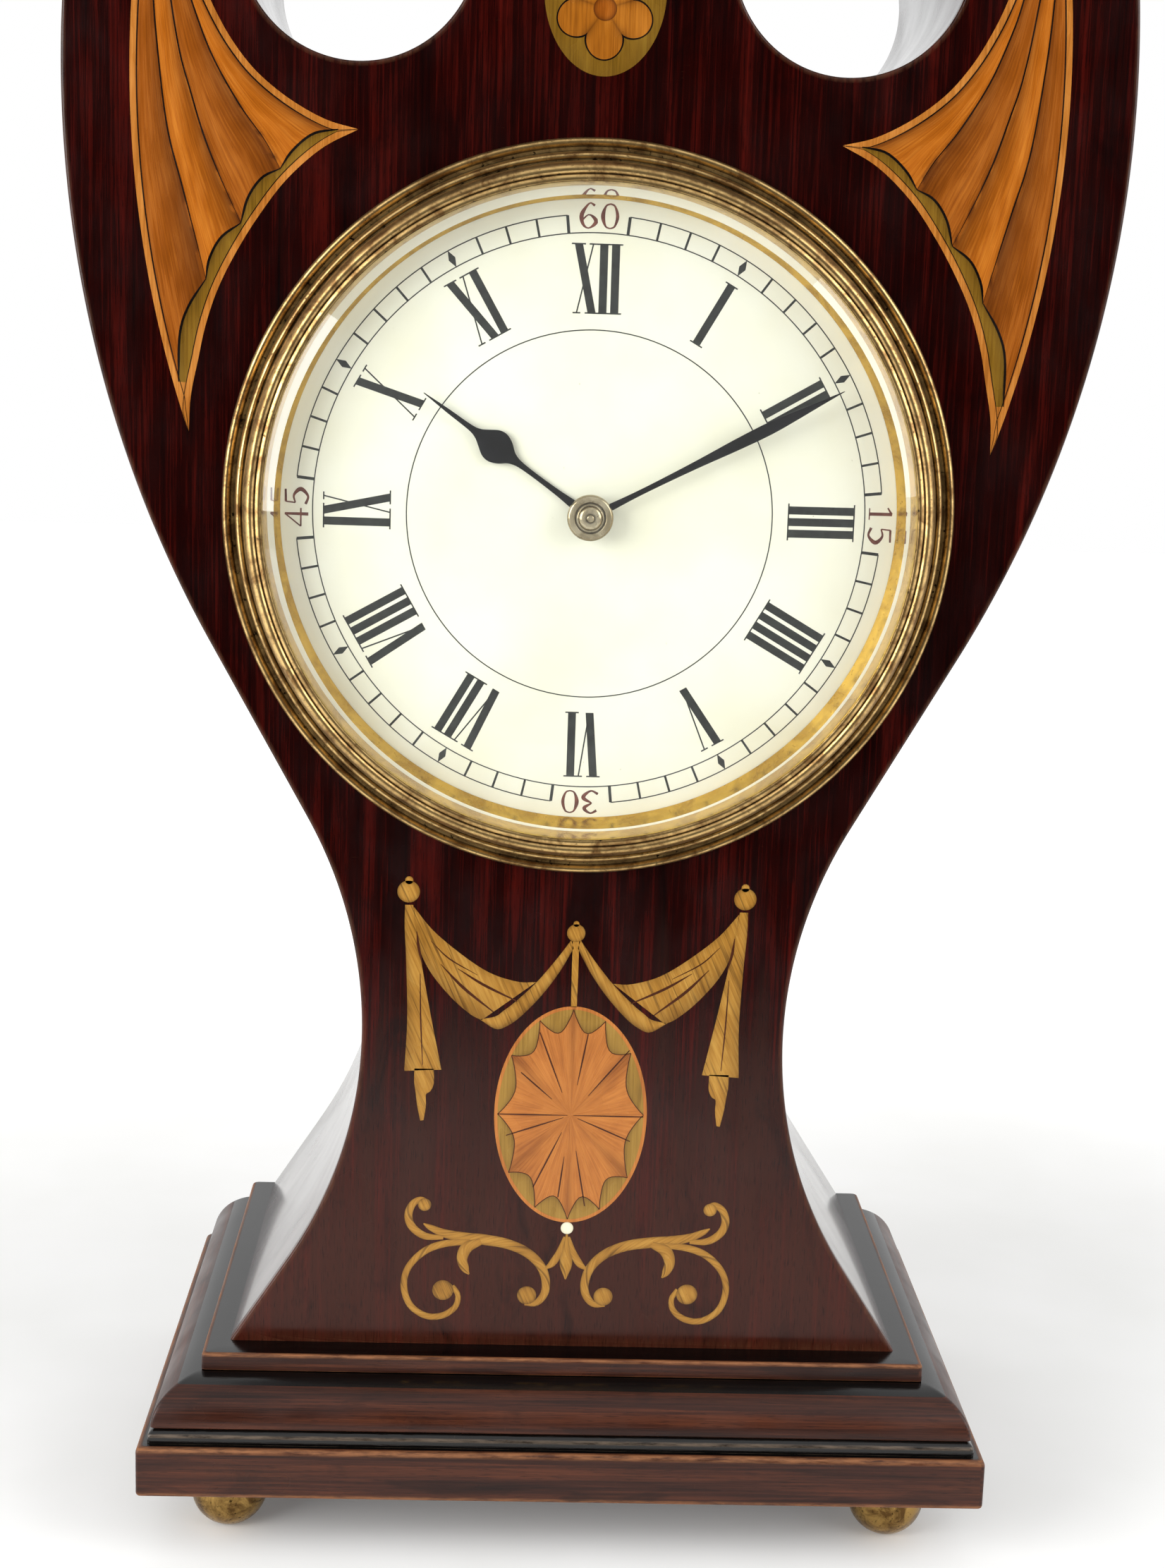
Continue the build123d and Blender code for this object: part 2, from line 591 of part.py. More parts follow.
def inlay_plates():
    """Inlay let into the front panel, flush with its face."""
    back = CASE_FRONT + INLAY_THICK
    fan = fan_face()
    stem = [(-SWAG_STEM_WIDTH / 2, SWAG_MIDDLE), (SWAG_STEM_WIDTH / 2, SWAG_MIDDLE),
            (SWAG_STEM_WIDTH / 2, SHELL_RY - SHELL_BELOW + SEAT_CLEARANCE),
            (-SWAG_STEM_WIDTH / 2, SHELL_RY - SHELL_BELOW + SEAT_CLEARANCE)]
    swag = both_sides(swag_faces()) + polygon(stem) + Pos(0, SWAG_MIDDLE) * Circle(SWAG_BALL_RADIUS)
    leaf_top = -(PEARL_BELOW + PEARL_RADIUS + AIR)
    leaf = [(0, leaf_top), (LEAF_WIDTH, leaf_top - LEAF_LENGTH), (-LEAF_WIDTH, leaf_top - LEAF_LENGTH)]
    pearl = Pos(0, -PEARL_BELOW) * Circle(PEARL_RADIUS)
    scrolls = both_sides(scroll_faces()) + polygon(leaf) + pearl
    faces = {
        "fan_inlay_right": fan,
        "fan_inlay_left": mirror(fan, about=Plane.YZ),
        "patera_inlay": oval(PATERA_ABOVE, PATERA_RX, PATERA_RY),
        "shell_inlay": oval(-SHELL_BELOW, SHELL_RX, SHELL_RY),
        "swag_inlay": swag,
        "scroll_inlay": scrolls,
    }
    return {name: slab(face, CASE_FRONT, back) for name, face in faces.items()}


def case_pieces():
    """Carcass, front panel, side veneer, piercing linings and inlay."""
    core = slab(case_outline(VENEER_THICK), CORE_FRONT, CASE_BACK)
    panel = slab(case_outline(0), CASE_FRONT, CORE_FRONT)
    veneer = slab(case_outline(0) - case_outline(VENEER_THICK), CORE_FRONT, CASE_BACK)
    pieces = {}
    for side, hole in zip(("left", "right"), zip(piercings(PIERCING_RADIUS),
                                                 piercings(PIERCING_RADIUS + VENEER_THICK))):
        panel -= slab(hole[0], CASE_FRONT, CORE_FRONT)
        core -= slab(hole[1], CORE_FRONT, CASE_BACK)
        pieces[f"piercing_lining_{side}"] = slab(hole[1] - hole[0], CORE_FRONT, CASE_BACK)
    core -= disc(CENTRE, BORE_RADIUS, CORE_FRONT, CASE_BACK)
    panel -= disc(CENTRE, BORE_RADIUS, CASE_FRONT, CORE_FRONT)
    panel -= disc(CENTRE, LIP_RADIUS + BORE_CLEARANCE, CASE_FRONT, CASE_FRONT + DRUM_WALL)
    for at in screw_places():
        core -= disc(at, SCREW_SHANK_RADIUS, CASE_BACK - SCREW_LENGTH, CASE_BACK)
    inlays = inlay_plates()
    for inlay in inlays.values():
        panel -= inlay
    return {"case_core": core, "front_panel": panel, "side_veneer": veneer, **pieces, **inlays}


def moulding(setback, bottom, height):
    """Plinth layer set back from the block at the front and sides, its back just behind the case."""
    half = BASE_WIDTH / 2 - setback
    return box(-half, half, BASE_FRONT + setback, CASE_BACK + MOULDING_BACK_PROUD, bottom, bottom + height)


def foot_places():
    """Axes of the four feet, by name."""
    x = BASE_WIDTH / 2 - FOOT_INSET
    y = BASE_DEPTH / 2 - FOOT_INSET
    return {"front_left": (-x, -y), "front_right": (x, -y), "back_left": (-x, y), "back_right": (x, y)}


def plinth_pieces():
    """Base block, ebonised lower fillet, ovolo, upper fillet and ball feet."""
    block = box(-BASE_WIDTH / 2, BASE_WIDTH / 2, BASE_FRONT, -BASE_FRONT, BASE_BOTTOM, BASE_TOP)
    block = fillet(block.edges(), BASE_CORNER)
    ovolo = moulding(OVOLO_SETBACK, LOWER_FILLET_TOP, OVOLO_HEIGHT)
    top_edges = ovolo.edges().group_by(Axis.Z)[-1].sort_by(Axis.Y)[:-1]
    ovolo = fillet(top_edges, OVOLO_RADIUS)
    pieces = {}
    ball_radius = FOOT_DIAMETER / 2
    ball_z = sqrt(ball_radius ** 2 - (FOOT_REST_DIAMETER / 2) ** 2)
    for name, (x, y) in foot_places().items():
        shank_top = FOOT_HEIGHT + FOOT_SHANK_LENGTH
        shank = Pos(x, y, (ball_z + shank_top) / 2) * Cylinder(FOOT_SHANK_DIAMETER / 2, shank_top - ball_z)
        ball = Pos(x, y, ball_z) * Sphere(ball_radius)
        ball -= Pos(x, y, FOOT_HEIGHT + ball_radius) * Box(FOOT_DIAMETER, FOOT_DIAMETER, FOOT_DIAMETER)
        ball -= Pos(x, y, -ball_radius) * Box(FOOT_DIAMETER, FOOT_DIAMETER, FOOT_DIAMETER)
        pieces[f"ball_foot_{name}"] = ball + shank
        block -= Pos(x, y, FOOT_HEIGHT + FOOT_SHANK_LENGTH / 2) * Cylinder(
            FOOT_SHANK_DIAMETER / 2, FOOT_SHANK_LENGTH)
    return {
        "base_block": block,
        "lower_fillet": moulding(LOWER_FILLET_SETBACK, BASE_TOP, LOWER_FILLET_HEIGHT),
        "ovolo_moulding": ovolo,
        "upper_fillet": moulding(UPPER_FILLET_SETBACK, OVOLO_TOP, UPPER_FILLET_HEIGHT),
        **pieces,
    }


def bulge(radius, rise, apex):
    """Arc from the dial's axis at a depth out to a radius, falling back by a rise."""
    ball = (radius ** 2 + rise ** 2) / (2 * rise)
    half_way = (radius / 2, apex + ball - sqrt(ball ** 2 - radius ** 2 / 4))
    return ThreePointArc((0, apex), half_way, (radius, apex + rise))


def dome(radius, front_rise, back_rise, apex, thick):
    """Round shell, domed towards the viewer, with its thickness at the middle."""
    back = apex + thick
    edges = [bulge(radius, front_rise, apex), Line((radius, apex + front_rise), (radius, back + back_rise)),
             bulge(radius, back_rise, back), Line((0, back), (0, apex))]
    return revolve(Plane.XY.offset(DIAL_Z) * make_face(edges), axis=DIAL_AXIS)


def dial_head_pieces():
    """Bezel, glass, sight ring, dial and its plate."""
    flange_back = CASE_FRONT
    flange_front = CASE_FRONT - FLANGE_THICK
    ring_outer = BEZEL_RADIUS - FLANGE_SHOW - BEZEL_GAP
    crest = CASE_FRONT - BEZEL_HEIGHT
    glass_back = CASE_FRONT - GLASS_SEAT
    glass_rim = glass_back - GLASS_THICK
    rabbet = GLASS_RADIUS + SEAT_CLEARANCE
    flange = turned([
        (FLANGE_INNER_RADIUS, flange_back), (BEZEL_RADIUS, flange_back),
        (BEZEL_RADIUS, flange_front + FLANGE_SHOW / 2), (BEZEL_RADIUS - FLANGE_SHOW / 2, flange_front),
        (FLANGE_INNER_RADIUS, flange_front)])
    step = (ring_outer - BEZEL_APERTURE) / 5
    lip = glass_rim - GLASS_BEVEL_DROP * (GLASS_RADIUS - BEZEL_APERTURE) / GLASS_BEVEL - SEAT_CLEARANCE
    ring = turned([
        (rabbet, flange_front), (ring_outer, flange_front), (ring_outer, flange_front - step),
        (ring_outer - step, flange_front - 2 * step), (ring_outer - 2 * step, crest + step / 2),
        (ring_outer - 3 * step, crest), (ring_outer - 4 * step, crest),
        (BEZEL_APERTURE, lip), (rabbet, lip)])
    dome_radius = GLASS_RADIUS - GLASS_BEVEL
    dome_rim = glass_rim - GLASS_BEVEL_DROP
    glass = dome(dome_radius, GLASS_RISE - GLASS_BEVEL_DROP, GLASS_RISE, glass_rim - GLASS_RISE, GLASS_THICK)
    glass += turned([(dome_radius, dome_rim), (GLASS_RADIUS, glass_rim), (GLASS_RADIUS, glass_back),
                     (dome_radius, glass_back)])
    dial_edge = DIAL_RADIUS - 2 * SIGHT_RING_THICK
    sight_ring = turned([
        (GLASS_RADIUS - 2 * SIGHT_RING_THICK, glass_back), (GLASS_RADIUS - SIGHT_RING_THICK, glass_back),
        (dial_edge + SIGHT_RING_THICK, DIAL_RIM_FRONT - SEAT_CLEARANCE),
        (dial_edge, DIAL_RIM_FRONT - SEAT_CLEARANCE)])
    dial = dome(DIAL_RADIUS, DIAL_CROWN, DIAL_CROWN, DIAL_APEX, DIAL_THICK)
    dial -= disc(CENTRE, DIAL_HOLE_RADIUS, DIAL_APEX - AIR, DIAL_PLATE_FRONT)
    dial_plate = disc(CENTRE, PLATE_RADIUS, DIAL_PLATE_FRONT, DIAL_PLATE_BACK)
    dial_plate -= disc(CENTRE, DIAL_HOLE_RADIUS, DIAL_PLATE_FRONT, DIAL_PLATE_BACK)
    for at in POSTS_AT:
        dial_plate += disc(at, POST_RADIUS, DIAL_PLATE_BACK, FRONT_PLATE)
    return {"bezel_flange": flange, "bezel_ring": ring, "glass": glass, "sight_ring": sight_ring,
            "dial": dial, "dial_plate": dial_plate}


def drum_pieces():
    """Drum that holds the movement in the case, and its rear cap."""
    lip_back = CASE_FRONT + DRUM_WALL
    drum = turned([(DRUM_INNER, CASE_FRONT), (LIP_RADIUS, CASE_FRONT), (LIP_RADIUS, lip_back),
                   (DRUM_RADIUS, lip_back), (DRUM_RADIUS, DRUM_BACK), (DRUM_INNER, DRUM_BACK)])
    cap = disc(CENTRE, PLATE_RADIUS, REAR_CAP, DRUM_BACK)
    cap -= disc(CENTRE, CENTRE_ARBOR_RADIUS + AIR, REAR_CAP, DRUM_BACK)
    cap -= disc(BARREL_AT, WINDING_ARBOR_RADIUS + AIR, REAR_CAP, DRUM_BACK)
    slot = INDEX_PIN_RADIUS + AIR
    sweep = INDEX_TRAVEL + degrees(asin(slot / INDEX_REACH))
    angles = [90 - sweep + 2 * sweep * n / CURVE_STEPS for n in range(CURVE_STEPS + 1)]
    outside = [shifted(BALANCE_AT, INDEX_REACH + slot, angle) for angle in angles]
    inside = [shifted(BALANCE_AT, INDEX_REACH - slot, angle) for angle in angles]
    cap -= slab(polygon(outside + inside[::-1]), REAR_CAP, DRUM_BACK)
    return {"drum": drum, "rear_cap": cap}


def bored(plate, at, radius, front, back):
    """Plate with a running hole for a pivot."""
    return plate - disc(at, radius + RUNNING_CLEARANCE, front, back)


def click_place():
    """Axis of the click beside the ratchet wheel."""
    return shifted(BARREL_AT, RATCHET_RADIUS + CLICK_REACH, CLICK_DIRECTION)


def plate_pieces():
    """Movement plates with their pivot holes, pillars and minute wheel stud."""
    front = disc(CENTRE, PLATE_RADIUS, FRONT_PLATE, FRONT_PLATE_BACK)
    back = disc(CENTRE, PLATE_RADIUS, BACK_PLATE, BACK_PLATE_BACK)
    for at, radius in ((CENTRE, CENTRE_ARBOR_RADIUS), (BARREL_AT, WINDING_ARBOR_RADIUS),
                       (THIRD_AT, PIVOT_RADIUS), (FOURTH_AT, PIVOT_RADIUS)):
        front = bored(front, at, radius, FRONT_PLATE, FRONT_PLATE_BACK)
    for at, radius in ((CENTRE, CENTRE_ARBOR_RADIUS), (BARREL_AT, WINDING_ARBOR_RADIUS),
                       (THIRD_AT, PIVOT_RADIUS), (FOURTH_AT, ARBOR_RADIUS + AIR),
                       (ESCAPE_AT, FINE_PIVOT_RADIUS), (LEVER_AT, FINE_PIVOT_RADIUS),
                       (BALANCE_AT, FINE_PIVOT_RADIUS)):
        back = bored(back, at, radius, BACK_PLATE, BACK_PLATE_BACK)
    front += disc(MINUTE_AT, FRONT_ARBOR_RADIUS, DIAL_PLATE_BACK + AIR, FRONT_PLATE)
    click_stud_back = BACK_PLATE_BACK + AIR + CLICK_THICK + AIR
    back += disc(click_place(), CLICK_PIVOT_RADIUS, BACK_PLATE_BACK, click_stud_back)
    pillars = Compound(children=[
        disc(at, PILLAR_RADIUS, FRONT_PLATE_BACK, BACK_PLATE) for at in PILLARS_AT])
    return {"front_plate": front, "back_plate": back, "pillars": pillars}


def hand_face(length, boss, bulge_at, bulge, stem):
    """Hand outline pointing up: boss, slim stem, one swelling and a fine tip."""
    swelling = [(bulge_at + along * bulge, share * bulge) for along, share in HAND_SWELL_SHAPE]
    width_at = [(boss, stem), (bulge_at - HAND_SWELL_FOOT * bulge, stem), *swelling,
                (bulge_at + HAND_SWELL_NECK * bulge, stem), (length, stem / 4)]
    right = [(width, along) for along, width in width_at]
    left = [(-width, along) for along, width in reversed(width_at)]
    base = [(-stem, 0), (stem, 0)]
    return Sketch() + Circle(boss) + polygon(base + right + left)


def hands_pieces():
    """Centre arbor, set knob, cannon pinion, minute hand and nut, and the hour wheel with its hand."""
    hour_front = DIAL_APEX - AIR - HAND_THICK
    hour_back = hour_front + HAND_THICK
    minute_front = hour_front - HAND_GAP - HAND_THICK
    minute_back = minute_front + HAND_THICK
    nut_front = minute_front - NUT_HEIGHT
    hour_bore = CANNON_PIPE_RADIUS + RUNNING_CLEARANCE
    pipe_radius = hour_bore + HOUR_PIPE_WALL
    cannon_back = FRONT_PLATE - AIR
    cannon_front = cannon_back - PINION_LENGTH / 2
    hour_wheel_front = DIAL_PLATE_BACK + AIR
    hour_wheel_back = hour_wheel_front + WHEEL_THICK
    knob_back = KNOB_FRONT + KNOB_THICK
    arbor = disc(CENTRE, FRONT_ARBOR_RADIUS, nut_front + NUT_HEIGHT / 2, FRONT_PLATE)
    arbor += disc(CENTRE, CENTRE_ARBOR_RADIUS, FRONT_PLATE, knob_back - KNOB_THICK / 4)
    cannon = gear_at(CENTRE, CANNON_LEAVES, CANNON_MODULE, MINUTE_DIRECTION, cannon_front, cannon_back)
    cannon += disc(CENTRE, CANNON_PIPE_RADIUS, minute_back, cannon_front)
    cannon -= disc(CENTRE, FRONT_ARBOR_RADIUS, minute_back, cannon_back)
    minute = slab(Rot(0, 0, -MINUTE_ANGLE) * (hand_face(
        MINUTE_LENGTH, HAND_BOSS_RADIUS, MINUTE_SWELL_AT, MINUTE_SWELL, HAND_STEM)
        - Circle(FRONT_ARBOR_RADIUS)), minute_front, minute_back)
    nut = disc(CENTRE, NUT_RADIUS, nut_front, minute_front)
    nut -= disc(CENTRE, FRONT_ARBOR_RADIUS, nut_front + NUT_HEIGHT / 2, minute_front)
    knob = disc(CENTRE, KNOB_RADIUS, KNOB_FRONT, knob_back)
    knob -= disc(CENTRE, CENTRE_ARBOR_RADIUS, KNOB_FRONT, knob_back - KNOB_THICK / 4)
    hour_wheel = gear_at(CENTRE, HOUR_TEETH, MINUTE_MODULE,
                         gap_opposite(MINUTE_DIRECTION + 180, HOUR_TEETH),
                         hour_wheel_front, hour_wheel_back)
    hour_wheel += disc(CENTRE, pipe_radius, hour_front, hour_wheel_front)
    hour_wheel -= disc(CENTRE, hour_bore, hour_front, hour_wheel_back)
    hour = slab(Rot(0, 0, -HOUR_ANGLE) * (hand_face(
        HOUR_LENGTH, pipe_radius + HAND_STEM, HOUR_BULGE_AT, HOUR_BULGE, HAND_STEM)
        - Circle(pipe_radius)), hour_front, hour_back)
    minute_bore = FRONT_ARBOR_RADIUS + RUNNING_CLEARANCE
    minute_wheel = gear_at(MINUTE_AT, MINUTE_TEETH, CANNON_MODULE,
                           gap_opposite(MINUTE_DIRECTION, MINUTE_TEETH),
                           cannon_front, cannon_front + WHEEL_THICK)
    minute_wheel += gear_at(MINUTE_AT, MINUTE_PINION_LEAVES, MINUTE_MODULE, MINUTE_DIRECTION + 180,
                            hour_wheel_front, cannon_front)
    minute_wheel -= disc(MINUTE_AT, minute_bore, hour_wheel_front, cannon_front + WHEEL_THICK)
    return {"centre_arbor": arbor, "cannon_pinion": cannon, "minute_hand": minute, "hand_nut": nut,
            "set_knob": knob, "hour_wheel": hour_wheel, "hour_hand": hour, "minute_wheel": minute_wheel}


def centre_wheel_front():
    """Depth of the centre wheel's front face."""
    return FRONT_PLATE_BACK + 2 * WHEEL_THICK


def barrel_front():
    """Depth of the great wheel's front face."""
    return BACK_PLATE - AIR - BARREL_LENGTH


def third_wheel_front():
    """Depth of the third wheel's front face, near the back plate."""
    return BACK_PLATE - PINION_LENGTH - WHEEL_THICK


def train_pieces():
    """Barrel, winding work and the wheels of the going train."""
    great_front = barrel_front()
    great_back = great_front + GREAT_WHEEL_THICK
    barrel_back = great_front + BARREL_LENGTH
    cap_front = barrel_back - BARREL_WALL
    bore = BARREL_ARBOR_RADIUS + RUNNING_CLEARANCE
    barrel = gear_at(BARREL_AT, GREAT_TEETH, GREAT_MODULE, BARREL_DIRECTION + 180, great_front, great_back)
    barrel += disc(BARREL_AT, BARREL_RADIUS, great_back, cap_front)
    barrel -= disc(BARREL_AT, BARREL_RADIUS - BARREL_WALL, great_back, cap_front)
    barrel -= disc(BARREL_AT, bore, great_front, great_back)
    cap = disc(BARREL_AT, BARREL_RADIUS, cap_front, barrel_back)
    cap -= disc(BARREL_AT, bore, cap_front, barrel_back)
    strip = spiral(BARREL_ARBOR_RADIUS + AIR, BARREL_RADIUS - BARREL_WALL, SPRING_THICK, SPRING_TURNS)
    mainspring = slab(Pos(*BARREL_AT) * strip, great_back + AIR, cap_front - AIR)
    key_front = KNOB_FRONT
    boss_back = key_front + KEY_BOSS_LENGTH
    arbor_back = boss_back - KEY_THICK
    arbor = disc(BARREL_AT, WINDING_ARBOR_RADIUS, FRONT_PLATE + AIR, arbor_back)
    arbor += disc(BARREL_AT, BARREL_ARBOR_RADIUS, FRONT_PLATE_BACK + AIR, BACK_PLATE - AIR / 2)
    ratchet_front = BACK_PLATE_BACK + AIR
    ratchet_face = saw_wheel(RATCHET_RADIUS, RATCHET_TEETH, RATCHET_DEPTH) - Circle(WINDING_ARBOR_RADIUS)
    ratchet = slab(Pos(*BARREL_AT) * ratchet_face, ratchet_front, ratchet_front + RATCHET_THICK)
    centre_front = centre_wheel_front()
    pinion_back = great_back + AIR
    tube_bore = CENTRE_ARBOR_RADIUS + RUNNING_CLEARANCE
    centre_wheel = spoked_wheel(
        CENTRE, CENTRE_TEETH, CENTRE_MODULE, THIRD_DIRECTION, centre_front, CENTRE_HUB_RADIUS)
    centre_wheel += gear_at(CENTRE, CENTRE_PINION_LEAVES, GREAT_MODULE,
                            gap_opposite(BARREL_DIRECTION + 180, CENTRE_PINION_LEAVES),
                            centre_front + WHEEL_THICK, pinion_back)
    centre_wheel -= disc(CENTRE, tube_bore, centre_front, pinion_back)
    third_front = third_wheel_front()
    third = spoked_wheel(
        THIRD_AT, THIRD_TEETH, THIRD_MODULE, FOURTH_DIRECTION, third_front, 2 * ARBOR_RADIUS)
    third += gear_at(THIRD_AT, THIRD_PINION_LEAVES, CENTRE_MODULE,
                     gap_opposite(THIRD_DIRECTION, THIRD_PINION_LEAVES),
                     centre_front - WHEEL_THICK, centre_front + 2 * WHEEL_THICK)
    third += disc(THIRD_AT, ARBOR_RADIUS, FRONT_PLATE_BACK + AIR, BACK_PLATE - AIR)
    third += disc(THIRD_AT, PIVOT_RADIUS, FRONT_PLATE, BACK_PLATE_BACK)
    fourth_front = BACK_PLATE_BACK + AIR
    fourth = spoked_wheel(
        FOURTH_AT, FOURTH_TEETH, FOURTH_MODULE, ESCAPE_DIRECTION, fourth_front, 2 * ARBOR_RADIUS)
    fourth += gear_at(FOURTH_AT, FOURTH_PINION_LEAVES, THIRD_MODULE,
                      gap_opposite(FOURTH_DIRECTION, FOURTH_PINION_LEAVES),
                      third_front - WHEEL_THICK, third_front + 2 * WHEEL_THICK)
    fourth += disc(FOURTH_AT, ARBOR_RADIUS, FRONT_PLATE_BACK + AIR, PLATFORM - AIR)
    fourth += disc(FOURTH_AT, PIVOT_RADIUS, FRONT_PLATE, PLATFORM_BACK)
    return {"barrel": barrel, "barrel_cap": cap, "mainspring": mainspring, "winding_arbor": arbor,
            "ratchet_wheel": ratchet, "winding_key": winding_key(key_front, boss_back, arbor_back),
            "centre_wheel": centre_wheel, "third_wheel": third, "fourth_wheel": fourth,
            "click": click_piece()}


def winding_key(front, back, arbor_back):
    """Two-lobed key on the winding arbor, its wings in a plane along the arbor."""
    x, z = BARREL_AT
    key = disc(BARREL_AT, KEY_BOSS_RADIUS, front, back)
    lobe_y = back + KEY_LOBE_RADIUS / 4
    plane = Plane(origin=(x, lobe_y, DIAL_Z + z - KEY_THICK / 2), x_dir=(1, 0, 0), z_dir=(0, 0, 1))
    lobe_at = KEY_SPAN - KEY_LOBE_RADIUS
    wings = Sketch() + Rectangle(2 * lobe_at, KEY_LOBE_RADIUS)
    for side in (-1, 1):
        wings += Pos(side * lobe_at, 0) * Circle(KEY_LOBE_RADIUS)
    for side in (-1, 1):
        wings -= Pos(side * lobe_at, 0) * Circle(KEY_LOBE_HOLE)
    key += extrude(plane * wings, amount=KEY_THICK)
    return key - disc(BARREL_AT, WINDING_ARBOR_RADIUS, front, arbor_back)


def click_piece():
    """Click lever on its stud, its beak just clear of the ratchet's teeth."""
    at = click_place()
    direction = CLICK_DIRECTION + 180
    beak = CLICK_REACH - AIR
    arm = [(0, -CLICK_PIVOT_RADIUS), (beak, 0), (0, 2 * CLICK_PIVOT_RADIUS)]
    face = Sketch() + Circle(2 * CLICK_PIVOT_RADIUS) + polygon(arm)
    face -= Circle(CLICK_PIVOT_RADIUS + RUNNING_CLEARANCE)
    front = BACK_PLATE_BACK + AIR
    return slab(Pos(*at) * Rot(0, 0, direction) * face, front, front + CLICK_THICK)


